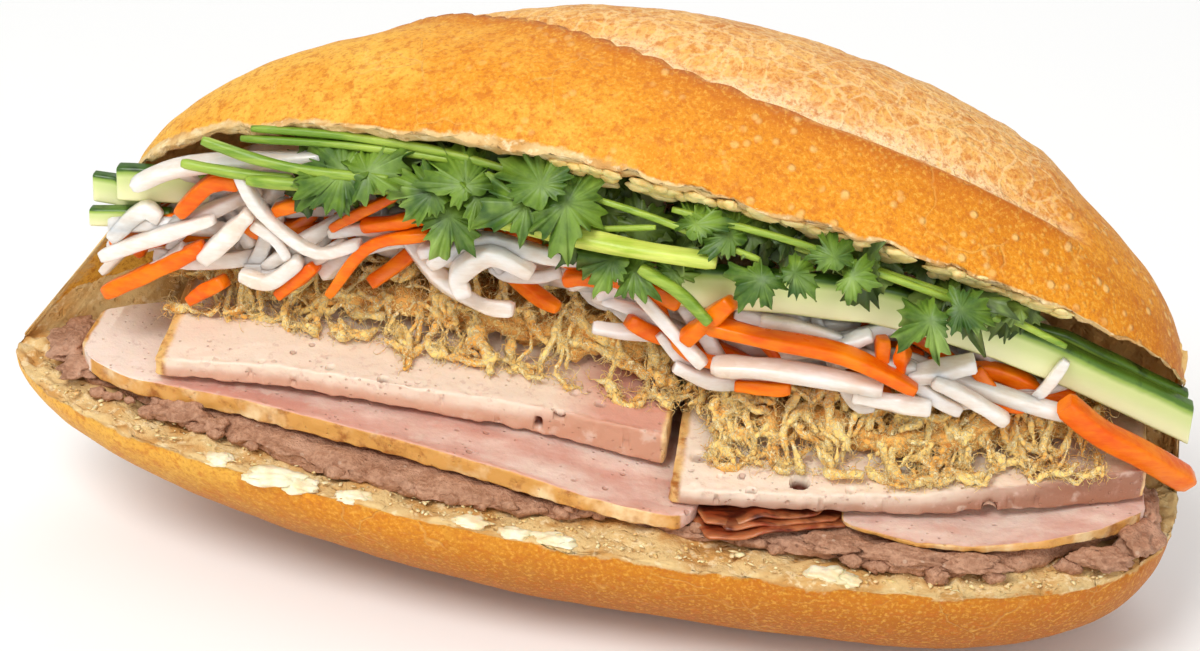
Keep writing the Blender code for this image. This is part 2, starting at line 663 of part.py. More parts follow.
def main():
    clear_scene()
    crust = material("baked_crust", (0.72, 0.40, 0.12), 0.55)
    meat = material("pork_roll", (0.80, 0.66, 0.58), 0.45)
    fried = material("fried_pork", (0.78, 0.58, 0.46), 0.45)
    red = material("red_pork", (0.42, 0.12, 0.07), 0.40)
    spread = material("liver_spread", (0.34, 0.21, 0.17), 0.75)
    strands = material("pork_floss", (0.74, 0.56, 0.30), 0.80)
    pickle = material("pickled_roots", (0.86, 0.62, 0.42), 0.30)
    carrot = material("carrot", (0.88, 0.32, 0.04), 0.35)
    cucumber = material("cucumber", (0.60, 0.70, 0.36), 0.30)
    leaf = material("cilantro_leaf", (0.10, 0.28, 0.05), 0.45)
    stalk = material("green_stalk", (0.38, 0.58, 0.16), 0.35)

    make_roll(crust)
    make_pate(spread)
    make_slice("fried_slice_left", FRIED_LEFT, fried)
    make_slice("pork_slice_left", PORK_LEFT, meat)
    make_slice("pork_slice_right", PORK_RIGHT, meat)
    make_slice("fried_slice_right", FRIED_RIGHT, fried)
    make_slice("red_pork_slices", RED_SLICES, red, 6)
    make_floss("floss_left", FLOSS_LEFT_FRONT, 5.0, strands)
    make_floss("floss_right", FLOSS_RIGHT_FRONT, 7.0, strands)
    make_pickles(pickle)
    stick("carrot_stick_right", CARROT_RIGHT, 0.0042, carrot)
    for name, form in CUCUMBERS.items():
        make_cucumber(name, form["top_edge"], form["height"], form["thick"], cucumber)
    make_cilantro(leaf)
    stick("green_stalk", GREEN_STALK, 0.0030, stalk)


main()
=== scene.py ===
import json
import math
import random

import bmesh
import bpy
from mathutils import Matrix, Vector, noise

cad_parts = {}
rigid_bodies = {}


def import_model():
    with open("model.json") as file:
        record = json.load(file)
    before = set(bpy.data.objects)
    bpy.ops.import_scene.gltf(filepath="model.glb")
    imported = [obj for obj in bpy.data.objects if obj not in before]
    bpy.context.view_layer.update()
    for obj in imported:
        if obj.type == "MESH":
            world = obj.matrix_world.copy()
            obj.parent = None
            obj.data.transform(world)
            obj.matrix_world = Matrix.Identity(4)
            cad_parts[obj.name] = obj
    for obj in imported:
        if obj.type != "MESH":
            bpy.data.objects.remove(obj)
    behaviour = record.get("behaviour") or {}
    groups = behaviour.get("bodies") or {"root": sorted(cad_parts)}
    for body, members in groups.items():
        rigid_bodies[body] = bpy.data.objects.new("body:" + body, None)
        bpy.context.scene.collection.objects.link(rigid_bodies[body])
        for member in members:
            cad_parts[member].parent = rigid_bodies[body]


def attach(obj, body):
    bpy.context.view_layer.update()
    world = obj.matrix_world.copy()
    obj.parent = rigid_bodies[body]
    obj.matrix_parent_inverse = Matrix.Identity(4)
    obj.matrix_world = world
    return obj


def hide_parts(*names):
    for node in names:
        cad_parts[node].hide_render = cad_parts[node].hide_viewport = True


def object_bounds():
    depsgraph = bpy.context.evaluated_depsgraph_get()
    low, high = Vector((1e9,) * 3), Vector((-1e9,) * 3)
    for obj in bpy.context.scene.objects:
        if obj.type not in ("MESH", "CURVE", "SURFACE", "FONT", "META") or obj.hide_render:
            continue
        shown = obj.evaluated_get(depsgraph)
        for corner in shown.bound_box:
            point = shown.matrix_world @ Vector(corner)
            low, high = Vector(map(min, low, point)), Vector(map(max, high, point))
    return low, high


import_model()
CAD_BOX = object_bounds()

bl_info = {
    "name": "Banh Mi Sandwich",
    "version": (1, 0, 0),
    "blender": (4, 5, 0),
    "location": "View3D > Sidebar > Sandwich",
    "description": "Bakes, cuts and fills one crusty sandwich around its packed solids",
    "category": "Object",
}

COLLECTION = "sandwich"
ALIKE = 0.0000001   # vertices closer than this are one
GAP = 0.0004        # between a heap's core and what it lies on

# ---- the roll before it is opened, in metres: the same values as its solid
HALF_LENGTH = 0.110
LOWER_HALF_WIDTH = 0.0422
LOWER_HEIGHT = 0.0265
BASE_FULLNESS = 0.0015
LOWER_TILT = -0.0039
LOWER_BOW = 0.0027
LOWER_OUTLINE = (1.80, 5.5, 0.094)
UPPER_HALF_WIDTH = 0.0424
UPPER_HEIGHT = 0.040
UPPER_OUTLINE = (1.75, 2.32, 0.05)
CROWN_POWER = 0.9
WALL_SHARE = 0.2
HINGE_Y = 0.042
HINGE_Z = 0.0374
SLIT_DEPTH = 0.030
SLIT_PASS = 0.001
SLIT_SHAVE = 0.0006
HOLLOW_SHARE = 0.26
HOLLOW_END_SHARE = 0.72
HOLLOW_OFFSET = 0.035
HOLLOW_RIM = 0.005
HOLLOW_END_RIM = 0.002
OPENING = math.radians(39.0)
OPENING_TWIST = math.radians(-14.3)
OPENING_FLARE = math.radians(14.7)
UPPER_MIDDLE = 0.0097
UPPER_HALF_LENGTH = 0.0977
UPPER_DROOP = -0.020
SLASH_START = -0.62
SLASH_END = 0.80
SLASH_ANGLE = math.radians(28.0)
SLASH_SWEEP = math.radians(46.0)
SLASH_DEPTH = 0.0022
SLASH_SWELL = 0.0016

# ---- how finely the roll is baked: rings along it, columns round them, and rows from the slit's lip back
RINGS = 200
COLUMNS = 180
SLIT_ROWS = 44
EVEN_SHARE = 0.25
TIP_SHARE = 0.985


# ---- small helpers
def clamp(value, low, high):
    """The value, held between low and high."""
    return max(low, min(high, value))


def smooth_step(low, high, value):
    """0 at low, 1 at high and smooth between; low may be the larger."""
    t = clamp((value - low) / (high - low), 0.0, 1.0)
    return t * t * (3.0 - 2.0 * t)


def mix(a, b, t):
    """A value between a and b, where t is the share of b."""
    return a + (b - a) * t


def along(stations, x):
    """A value read from a few (x, value) stations, joined by straight runs."""
    if x <= stations[0][0]:
        return stations[0][1]
    for (x0, a), (x1, b) in zip(stations, stations[1:]):
        if x <= x1:
            return mix(a, b, (x - x0) / (x1 - x0))
    return stations[-1][1]


def rough(point, scale, seed=0.0):
    """Smooth noise between about -1 and 1; scale is waves per metre."""
    return noise.noise(Vector(point) * scale + Vector((seed, -seed, seed * 0.5)))


def rgb(red, green, blue):
    """A display colour from 0 to 255 as a shader's linear colour."""
    parts = []
    for part in (red, green, blue):
        part /= 255.0
        parts.append(part / 12.92 if part <= 0.04045 else ((part + 0.055) / 1.055) ** 2.4)
    return (*parts, 1.0)


def home():
    """The collection that holds every piece of the sandwich."""
    found = bpy.data.collections.get(COLLECTION) or bpy.data.collections.new(COLLECTION)
    if COLLECTION not in bpy.context.scene.collection.children:
        bpy.context.scene.collection.children.link(found)
    return found


def metres(*values):
    """Millimetres as metres."""
    return [value / 1000 for value in values]


def new_object(name, bm, finishes):
    """Turn a finished bmesh into an object."""
    mesh = bpy.data.meshes.new(name)
    bm.to_mesh(mesh)
    bm.free()
    for finish in finishes:
        mesh.materials.append(finish)
    return bpy.data.objects.new(name, mesh)


def add_piece(name, bm, finishes, replaced=(), creased=None):
    """Make a smooth piece from a finished bmesh, sharp at the creased angle, riding on the sandwich."""
    made = new_object(name, bm, finishes)
    made.data.shade_smooth()
    if creased:
        made.data.set_sharp_from_angle(angle=math.radians(creased))
    home().objects.link(made)
    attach(made, "root")
    if replaced:
        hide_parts(*replaced)
    return made


def face_outwards(bm):
    """Turn every face of a closed mesh outwards."""
    bmesh.ops.recalc_face_normals(bm, faces=bm.faces)
    if bm.calc_volume(signed=True) < 0.0:
        bmesh.ops.reverse_faces(bm, faces=bm.faces)


def gather(total, part):
    """Add one finished part to a heap of like parts."""
    holder = bpy.data.meshes.new("part")
    part.to_mesh(holder)
    part.free()
    total.from_mesh(holder)
    bpy.data.meshes.remove(holder)


def roughen(bm, waves):
    """Push every vertex out or in along its normal; each wave is its height, its scale and its seed."""
    bm.normal_update()
    moved = []
    for vert in bm.verts:
        push = sum(height * rough(vert.co, scale, seed) for height, scale, seed in waves)
        moved.append(vert.co + vert.normal * push)
    for vert, place in zip(bm.verts, moved):
        vert.co = place


def block(shift, size=(1.0, 1.0, 1.0)):
    """A box, moved while it is one unit large and then scaled to its size."""
    bm = bmesh.new()
    bmesh.ops.create_cube(bm, size=1.0)
    bmesh.ops.translate(bm, verts=bm.verts, vec=shift)
    bmesh.ops.scale(bm, verts=bm.verts, vec=size)
    return bm


def edge_span(edge, axis):
    """How far an edge reaches along one axis."""
    return abs(edge.verts[0].co[axis] - edge.verts[1].co[axis])


def round_off(bm, edges, offset, segments):
    """Round a box's edges."""
    bmesh.ops.bevel(bm, geom=edges, offset=offset, offset_type="OFFSET", segments=segments, profile=0.5,
                    affect="EDGES", material=-1)


# ---- shader maths
class Reading:
    """One output of a shader node, so that sums are written as plain expressions."""

    def __init__(self, tree, socket):
        self.tree = tree
        self.socket = socket

    def feed(self, target, value):
        """Link a reading to a socket, or set the socket to a plain value."""
        if isinstance(value, Reading):
            self.tree.links.new(value.socket, target)
        else:
            target.default_value = value

    def sum(self, operation, first, second):
        """One Math node on two values."""
        made = self.tree.nodes.new("ShaderNodeMath")
        made.operation = operation
        self.feed(made.inputs[0], first)
        self.feed(made.inputs[1], second)
        return Reading(self.tree, made.outputs[0])

    def __add__(self, other):
        return self.sum("ADD", self, other)

    def __radd__(self, other):
        return self.sum("ADD", other, self)

    def __sub__(self, other):
        return self.sum("SUBTRACT", self, other)

    def __rsub__(self, other):
        return self.sum("SUBTRACT", other, self)

    def __mul__(self, other):
        return self.sum("MULTIPLY", self, other)

    def __rmul__(self, other):
        return self.sum("MULTIPLY", other, self)

    def __pow__(self, other):
        return self.sum("POWER", self, other)


class Finish:
    """A material with one Principled shader and a few plain ways to build what feeds it."""

    def __init__(self, name):
        self.material = bpy.data.materials.new(name)
        self.material.use_nodes = True
        self.tree = self.material.node_tree
        self.shader = self.tree.nodes["Principled BSDF"]
        self.point = self.node("TexCoord", output="Object")

    def node(self, kind, settings=None, sockets=None, output=0):
        """Add a node: its settings are set first, then its sockets get values or links."""
        made = self.tree.nodes.new("ShaderNode" + kind)
        for key, value in (settings or {}).items():
            setattr(made, key, value)
        reading = Reading(self.tree, made.outputs[output])
        for key, value in (sockets or {}).items():
            reading.feed(made.inputs[key], value)
        return reading

    def noise(self, scale, detail=3.0, roughness=0.55, point=None):
        """A cloud of noise around 0.5."""
        return self.node("TexNoise", {}, {"Vector": point or self.point, "Scale": scale, "Detail": detail,
                                          "Roughness": roughness})

    def cells(self, scale, feature="F1", point=None):
        """Distance to the nearest of many scattered points, or to the edge between two of them."""
        return self.node("TexVoronoi", {"feature": feature}, {"Vector": point or self.point, "Scale": scale})

    def lines(self, scale, width, point=None):
        """Thin curling lines, where a cloud passes its middle."""
        cloud = self.noise(scale, 2.0, 0.5, point) - 0.5
        return self.between(width, 0.0, cloud.sum("ABSOLUTE", cloud, 0.0))

    def stretched(self, scale, turn=(0.0, 0.0, 0.0)):
        """The place on the piece, scaled and turned."""
        return self.node("Mapping", {}, {"Vector": self.point, "Scale": scale, "Rotation": turn})

    def between(self, low, high, value):
        """0 below low, 1 above high, smooth between; low may be the larger."""
        return self.node("MapRange", {"interpolation_type": "SMOOTHSTEP"},
                         {"Value": value, "From Min": low, "From Max": high})

    def blend(self, first, second, share):
        """One colour passing into another."""
        return self.node("Mix", {"data_type": "RGBA"}, {0: share, 6: first, 7: second}, 2)

    def attribute(self, name):
        """A mark that the mesh carries on its vertices."""
        return self.node("Attribute", {"attribute_name": name}, {}, "Fac")

    def height(self):
        """Height above the floor."""
        return self.node("SeparateXYZ", {}, {0: self.point}, "Z")

    def bump(self, height, strength, distance=0.001):
        """Raise the surface by height, counted in distance metres."""
        return self.node("Bump", {}, {"Height": height, "Strength": strength, "Distance": distance})

    def finish(self, **sockets):
        """Set or feed the shader's sockets, and give the material."""
        for key, value in sockets.items():
            Reading(self.tree, None).feed(self.shader.inputs[key.replace("_", " ")], value)
        return self.material


# ---- the roll's form
def outline(s, shape):
    """Half width at a share of the half length, as a share of the full half width."""
    left, right, skew = shape
    power = left if s < 0 else right
    return math.sqrt(max(0.0, 1.0 - abs(s) ** power)) * (1.0 + skew * s * (1.0 - s * s))


def share(x):
    """Where x lies between the tips, from -1 to 1."""
    return clamp(x / HALF_LENGTH, -1.0, 1.0)


def cut_height(x):
    """Height of the lower half's cut face."""
    s = share(x)
    return LOWER_HEIGHT + LOWER_TILT * s + LOWER_BOW * s * s


def wall_height(x):
    """How far apart the slit's two faces lie before it is opened."""
    s = share(x)
    return (HINGE_Z - cut_height(x)) * (1.0 - s * s) ** 0.5


def slit_back(x):
    """How far back the slit runs."""
    s = abs(share(x))
    return SLIT_DEPTH * (1.0 - s ** 2.2) ** 0.75 + SLIT_PASS


def slash_angle(s):
    """Where the baker's cut lies on the crown, as an angle up from the front."""
    return SLASH_ANGLE + SLASH_SWEEP * max(0.0, (0.3 - s) / 0.92) ** 1.6


def slash_strength(s):
    """How strongly the baker's cut shows: 1 along its middle, 0 past its ends."""
    return smooth_step(SLASH_START, SLASH_START + 0.2, s) * smooth_step(SLASH_END, SLASH_END - 0.12, s)


def slash_relief(s, angle):
    """The step down behind the baker's cut and the swell above it."""
    behind = angle - slash_angle(s)
    step = smooth_step(0.0, math.radians(3.0), behind) * smooth_step(
        math.radians(16.0), math.radians(5.0), behind)
    swell = smooth_step(math.radians(10.0), math.radians(30.0), behind) * smooth_step(
        math.radians(90.0), math.radians(45.0), behind)
    return slash_strength(s) * (SLASH_SWELL * swell - SLASH_DEPTH * step)


def ring_angle(angle, s):
    """Turn a column so that one follows the lip and the nearest one the baker's cut."""
    column = 2 * math.pi / COLUMNS
    lip = math.asin(WALL_SHARE)
    if angle <= 0.0:
        return along([(-math.pi, -math.pi), (-6 * column, -lip), (0.0, 0.0)], angle)
    nearest = round(slash_angle(s) / column) * column
    shift = slash_angle(s) - nearest
    turned = angle + shift * max(0.0, 1.0 - abs(angle - nearest) / (3 * column))
    return along([(0.0, 0.0), (6 * column, lip), (9 * column, 9 * column), (math.pi, math.pi)], turned)


def closed_point(s, turn):
    """A point of the unopened roll; turn runs round its ring from the front."""
    lower = outline(s, LOWER_OUTLINE)
    upper = outline(s, UPPER_OUTLINE)
    x = HALF_LENGTH * s
    up = math.sin(turn)
    rise = max(0.0, abs(up) - WALL_SHARE) / (1.0 - WALL_SHARE)
    forward = -math.cos(turn)
    wall = wall_height(x)
    if abs(up) <= WALL_SHARE:
        level = (up / WALL_SHARE + 1.0) / 2.0
        width = mix(LOWER_HALF_WIDTH * lower, UPPER_HALF_WIDTH * upper, level)
        return Vector((x, width * math.copysign(1.0, forward), cut_height(x) + wall * level))
    across = math.copysign(math.sqrt(max(0.0, 1.0 - rise * rise)), forward)
    if up < 0.0:
        drop = (LOWER_HEIGHT + BASE_FULLNESS) * lower ** CROWN_POWER * rise
        return Vector((x, LOWER_HALF_WIDTH * lower * across, max(0.0, cut_height(x) - drop)))
    relief = slash_relief(s, math.atan2(rise, -across))
    crown = UPPER_HEIGHT * upper ** CROWN_POWER
    return Vector((x, (UPPER_HALF_WIDTH * upper + relief) * across,
                   cut_height(x) + wall + (crown + relief) * rise))


def opening(x):
    """How far the lid is turned open."""
    s = x / HALF_LENGTH
    return OPENING + OPENING_TWIST * s + OPENING_FLARE * s * s


def opened(point):
    """Turn a point of the lid open about the hinge, and leave the lower half in place."""
    x, y, z = point
    s = share(x)
    middle = cut_height(x) + wall_height(x) / 2
    lift = math.atan2(z - middle, y - slit_back(x))
    part = smooth_step(-math.pi / 3, math.pi / 3, lift)
    angle = opening(UPPER_MIDDLE + UPPER_HALF_LENGTH * s)
    reach = y - HINGE_Y
    height = z - cut_height(x) - wall_height(x) + UPPER_DROOP * s * s
    above = Vector((UPPER_MIDDLE + UPPER_HALF_LENGTH * s,
                    HINGE_Y + reach * math.cos(angle) + height * math.sin(angle),
                    HINGE_Z - reach * math.sin(angle) + height * math.cos(angle)))
    return Vector(point).lerp(above, part)


def hollow_half(x):
    """Half width of the lid's hollow."""
    s = share(x)
    return max(0.0, UPPER_HALF_WIDTH * outline(s, UPPER_OUTLINE) - mix(HOLLOW_RIM, HOLLOW_END_RIM, s * s))


def hollow(x, y):
    """Depth of the lid's hollow."""
    half = hollow_half(x)
    if half == 0.0:
        return 0.0
    s = share(x)
    across = y / half + HOLLOW_OFFSET
    crown = UPPER_HEIGHT * outline(s, UPPER_OUTLINE) ** CROWN_POWER
    return crown * mix(HOLLOW_SHARE, HOLLOW_END_SHARE, s * s) * max(0.0, 1.0 - across * across) ** 0.6


def station(u):
    """Rings lie closer together towards the tips; u runs evenly from -1 to 1."""
    return mix(math.sin(u * math.pi / 2), u, EVEN_SHARE)


def slit_rows(x):
    """Rows of the slit: outside the roll, just outside its lip, then close together over the hollow's rim."""
    lip = -UPPER_HALF_WIDTH * outline(share(x), UPPER_OUTLINE) - SLIT_SHAVE
    edge = -(1.0 + HOLLOW_OFFSET) * hollow_half(x)
    rim = 5
    inner = SLIT_ROWS - 1 - rim
    return ([-1.25 * LOWER_HALF_WIDTH] + [mix(lip, edge, step / rim) for step in range(rim)]
            + [mix(edge, slit_back(x), (step / inner) ** 1.3) for step in range(inner + 1)])


def make_slit(finishes):
    """The cutter for the slit and the lid's hollow, with the second finish on every face."""
    bm = bmesh.new()
    bmesh.ops.create_grid(bm, x_segments=RINGS, y_segments=SLIT_ROWS, size=1.0)
    grown = bmesh.ops.extrude_face_region(bm, geom=list(bm.faces), use_keep_orig=True)
    upper = {item for item in grown["geom"] if isinstance(item, bmesh.types.BMVert)}
    rows = {}
    for vert in bm.verts:
        x = HALF_LENGTH * station(clamp(vert.co.x, -1.0, 1.0))
        if abs(vert.co.x) > 0.999:
            x *= 1.02
        key = round(vert.co.x * 100000)
        if key not in rows:
            rows[key] = slit_rows(x)
        y = rows[key][round((vert.co.y + 1.0) / 2 * SLIT_ROWS)]
        z = cut_height(x) - SLIT_SHAVE
        if vert in upper:
            z = cut_height(x) + wall_height(x) + SLIT_SHAVE + hollow(x, y)
        vert.co = (x, y, z)
    for face in bm.faces:
        face.material_index = 1
    face_outwards(bm)
    made = new_object("slit", bm, finishes)
    home().objects.link(made)
    return made


def boolean(target, cutter, operation):
    """Cut or join the target's own mesh, and remove the other object."""
    step = target.modifiers.new("cut", "BOOLEAN")
    step.object = cutter
    step.operation = operation
    step.solver = "EXACT"
    graph = bpy.context.evaluated_depsgraph_get()
    result = bpy.data.meshes.new_from_object(target.evaluated_get(graph), depsgraph=graph)
    target.modifiers.remove(step)
    old = target.data
    target.data = result
    bpy.data.meshes.remove(old)
    spent = cutter.data
    bpy.data.objects.remove(cutter)
    bpy.data.meshes.remove(spent)


def closed_loaf(finishes):
    """The unopened roll with the slit cut into it, as one mesh."""
    bm = bmesh.new()
    bmesh.ops.create_uvsphere(bm, u_segments=COLUMNS, v_segments=RINGS, radius=1.0)
    bmesh.ops.rotate(bm, verts=bm.verts, matrix=Matrix.Rotation(math.pi / 2, 3, "Y"))
    for vert in bm.verts:
        s = station(math.asin(clamp(vert.co.x, -1.0, 1.0)) / (math.pi / 2))
        turn = math.atan2(vert.co.z, -vert.co.y)
        vert.co = closed_point(clamp(s, -1.0, 1.0), ring_angle(turn, s))
    face_outwards(bm)
    loaf = new_object("roll_piece", bm, finishes)
    home().objects.link(loaf)
    boolean(loaf, make_slit(finishes), "DIFFERENCE")
    bm = bmesh.new()
    bm.from_mesh(loaf.data)
    old = loaf.data
    bpy.data.objects.remove(loaf)
    bpy.data.meshes.remove(old)
    tip = TIP_SHARE * HALF_LENGTH
    ragged = [face for face in bm.faces if len(face.verts) > 4 and abs(face.calc_center_median().x) > tip]
    bmesh.ops.poke(bm, faces=ragged)
    ragged = [face for face in bm.faces if len(face.verts) > 4]
    bmesh.ops.triangulate(bm, faces=ragged, ngon_method="EAR_CLIP")
    bmesh.ops.remove_doubles(bm, verts=bm.verts, dist=ALIKE)
    bm.normal_update()
    return bm


ROLL_MARKS = ("crumb", "scorch", "split", "shell", "streak", "toast")


def torn_rim(x, upper):
    """How far the torn crumb reaches over the lip, uneven along the roll."""
    if upper:
        return mix(0.0030, 0.0013, smooth_step(-0.02, 0.02, x)) * (1.0 + 0.6 * rough((x, 0, 0), 110.0, 3.0))
    rim = 0.0017 + 0.0022 * rough((x, 0, 0), 80.0, 5.0) + 0.0011 * rough((x, 0, 0), 280.0, 15.0)
    return max(rim, 0.0004)


def slash_marks(x, behind, strength):
    """How much the crust has split, scorched, risen and streaked at an angle behind the baker's cut."""
    split = strength * smooth_step(math.radians(0.5), math.radians(3.0), behind) * smooth_step(
        math.radians(95.0), math.radians(50.0), behind)
    past = math.degrees(behind)
    if past < 0.0:
        scorch = strength * (0.45 * math.exp(-(past / 10.0) ** 2) + 0.55 * math.exp(-(past / 3.5) ** 2))
        ridge = strength * math.exp(-(past / 5.0) ** 2)
    else:
        scorch = strength * math.exp(-(past / 1.2) ** 2)
        ridge = strength * math.exp(-(past / 1.0) ** 2)
    fade = 11.0 + 8.0 * rough((x, 0, 0), 60.0, 7.0)
    streak = strength * smooth_step(0.8, 2.2, past) * smooth_step(fade, 3.0, past)
    return split, scorch, ridge, streak


def crust_relief(point, upper, split, ridge):
    """How far blisters, the ragged split and the ridge beside it lift the crust."""
    x, y, z = point
    ragged = 0.0003 if upper else 0.0009
    relief = 0.00045 * (rough(point, 55.0, 1.0) - 0.5) + 0.00018 * rough(point, 210.0, 2.0)
    relief += split * ragged * (rough((x * 0.7, y, z), 240.0, 4.0) + 0.6 * rough(point, 520.0, 6.0))
    return relief + 0.0010 * ridge


def roll_surface(bm):
    """Blister, split and tear the unopened roll, mark its crust and crumb, and open it."""
    layers = {name: bm.verts.layers.float.new(name) for name in ROLL_MARKS}
    moved = []
    for vert in bm.verts:
        point = vert.co.copy()
        x, y, z = point
        s = share(x)
        cut, wall = cut_height(x), wall_height(x)
        above, below = z - cut - wall, cut - z
        upper = z > cut + wall * 0.5
        full = max(outline(s, UPPER_OUTLINE), 0.02)
        crown, width = UPPER_HEIGHT * full ** CROWN_POWER, UPPER_HALF_WIDTH * full
        inside = sum(face.material_index == 1 for face in vert.link_faces) / max(1, len(vert.link_faces))

        between = smooth_step(-0.0005, 0.0005, z - cut) * smooth_step(0.0005, -0.0005, z - cut - wall)
        open_side = smooth_step(0.010, -0.004, y)
        front = mix(open_side, smooth_step(slit_back(x) + 0.006, slit_back(x) - 0.001, y), between)
        rim = torn_rim(x, upper)
        from_lip = above if upper else below
        lip = (1.0 - smooth_step(rim * 0.3, rim, from_lip)) * front
        crumb = max(inside, lip * 0.9)
        behind = math.atan2(max(0.0, above) / crown, -y / width) - slash_angle(s)
        strength = slash_strength(s) if (upper and not inside) else 0.0
        split, scorch, ridge, streak = slash_marks(x, behind, strength)

        shift = crust_relief(point, upper, split, ridge) if inside < 0.5 else 0.0
        tatter = 0.45 if upper and y < -0.6 * width else 1.0
        shift += tatter * crumb * (0.0009 * rough(point, 170.0, 8.0) + 0.0010 * rough(point, 480.0, 9.0))
        if upper and inside > 0.0:
            shift -= 0.0010 * max(0.0, rough(point, 300.0, 10.0))
        point += vert.normal * shift
        near_lip = math.exp(-(from_lip / 0.003) ** 2) if from_lip > 0 else 1.0
        tear = 0.0011 * rough((x, 0, 0), 95.0, 12.0) + 0.0006 * rough((x, 0, 0), 260.0, 13.0)
        tear *= front * near_lip
        if abs(s) < 0.97:
            point.z += tear if upper else tear * 0.6
        moved.append(point)

        # This mask and the mark below pick out the hollow inside the lid's ends, where the crumb is
        # brightened with painted light.
        deep = smooth_step(-width * 0.90, -width * 0.60, y) if upper and inside > 0.5 else 0.0
        past_cut = 0.25 if upper and behind > 0.0 else 0.0
        vert[layers["crumb"]] = crumb
        vert[layers["scorch"]] = clamp(scorch, 0.0, 1.0)
        vert[layers["split"]] = clamp(split, 0.0, 1.0)
        vert[layers["shell"]] = deep * smooth_step(0.55, 0.85, abs(s))
        vert[layers["streak"]] = clamp(streak, 0.0, 1.0)
        vert[layers["toast"]] = clamp(0.5 + 0.45 * s - past_cut, 0.0, 1.0)
    for vert, point in zip(bm.verts, moved):
        vert.co = [clamp(value, low, high) for value, low, high in zip(opened(point), *CAD_BOX)]


def crust_finish(golden, toasted, crumb_colour):
    """Golden crust with toasted patches and bubbles, a pale flaky split, and soft torn crumb."""
    f = Finish("baked_crust")
    crumb = f.attribute("crumb")
    split = f.attribute("split")
    streak = f.attribute("streak")
    toast = f.attribute("toast")
    patch = f.noise(30.0, 4.0, 0.6)
    mottle = f.noise(190.0, 5.0, 0.65)
    grain = f.noise(1300.0, 4.0, 0.65)
    coarse = f.noise(480.0, 5.0, 0.7)
    sway = f.node("TexNoise", {}, {"Vector": f.point, "Scale": 90.0, "Detail": 3.0}, "Color")
    warp = f.node("VectorMath", {"operation": "ADD"}, {
        0: f.point, 1: f.node("VectorMath", {"operation": "SCALE"}, {0: sway, "Scale": 0.012})})
    level = toast + 1.3 * (patch - 0.5) + 0.6 * (mottle - 0.5)
    baked = f.blend(rgb(248, 190, 74), golden, f.between(0.0, 0.5, level))
    baked = f.blend(baked, toasted, f.between(0.5, 1.1, level))
    # Darker low on the roll: partly the crust's own browner bake underneath, partly painted shade.
    baked = f.blend(baked, rgb(162, 90, 4), 0.9 * f.between(0.034, 0.010, f.height() + 0.01 * (patch - 0.5)))
    baked = f.blend(baked, rgb(186, 94, 14), 0.9 * f.attribute("scorch"))

    plate = f.between(0.38, 0.62, 0.5 * mottle + 0.5 * f.noise(70.0, 4.0, 0.6))
    loose = f.blend(rgb(242, 184, 104), rgb(214, 138, 56), plate)
    wide = f.between(0.13, 0.01, f.cells(230.0, "DISTANCE_TO_EDGE", warp))
    fine = f.between(0.20, 0.03, f.cells(520.0, "DISTANCE_TO_EDGE", warp))
    flake = wide + 0.5 * fine
    loose = f.blend(loose, rgb(252, 216, 154), 0.62 * f.between(0.1, 1.0, flake))
    baked = f.blend(baked, loose, 0.92 * split)
    baked = f.blend(baked, rgb(252, 226, 180), streak * f.between(0.30, 0.50, f.noise(240.0, 4.0, 0.7)))

    crowd = f.between(0.36, 0.66, f.noise(45.0, 3.0)) * f.between(0.1, 0.9, toast)
    dome = f.between(0.42, 0.0, f.cells(760.0)) * crowd
    big = f.between(0.36, 0.16, f.cells(360.0)) * f.between(0.42, 0.56, f.noise(110.0, 2.0)) * f.between(
        0.1, 0.8, toast) * f.between(0.030, 0.050, f.height())
    baked = f.blend(baked, rgb(190, 106, 30), 0.55 * f.between(0.50, 0.68, grain))
    baked = f.blend(baked, rgb(250, 196, 84), 0.40 * f.between(0.50, 0.34, grain))
    baked = f.blend(baked, rgb(198, 106, 16), 0.60 * f.between(0.50, 0.64, coarse))
    baked = f.blend(baked, rgb(248, 196, 96), 0.5 * dome)
    baked = f.blend(baked, rgb(250, 202, 124), 0.7 * big)
    crack = f.between(0.020, 0.0, f.cells(60.0, "DISTANCE_TO_EDGE", warp)) * f.between(
        0.50, 0.60, f.noise(40.0, 2.0))
    baked = f.blend(baked, rgb(250, 200, 110), 0.25 * crack)

    pores = f.between(0.30, 0.08, f.cells(460.0, point=warp))
    torn = f.blend(crumb_colour, rgb(206, 152, 84), f.between(0.42, 0.62, f.noise(110.0, 4.0)))
    # Painted highlights: pale flecks on the torn crumb.
    torn = f.blend(torn, rgb(248, 224, 176), 0.7 * f.between(0.52, 0.68, f.noise(520.0, 3.0, 0.6)))
    torn = f.blend(torn, rgb(204, 146, 76), 0.4 * pores)
    # The hollow inside the lid's ends: the crumb's own colour, brightened with painted light where it lies in
    # shade.
    torn = f.blend(torn, rgb(255, 204, 122), 0.8 * f.attribute("shell"))
    edge = crumb + 1.2 * (f.noise(380.0, 5.0, 0.75) - 0.5)
    colour = f.blend(baked, torn, f.between(0.25, 0.62, edge))
    web = f.noise(420.0, 3.0, 0.6)
    relief = (0.28 * dome + 0.45 * big - 0.2 * crack + 0.4 * mottle * (0.3 + split) + 0.36 * grain
              + 0.42 * coarse + 0.14 * split * flake + 0.7 * crumb * (web - 0.5 * pores))
    return f.finish(Base_Color=colour, Roughness=0.42 + 0.22 * grain + 0.30 * crumb,
                    Normal=f.bump(relief, 1.0, 0.0007), Specular_IOR_Level=0.25)


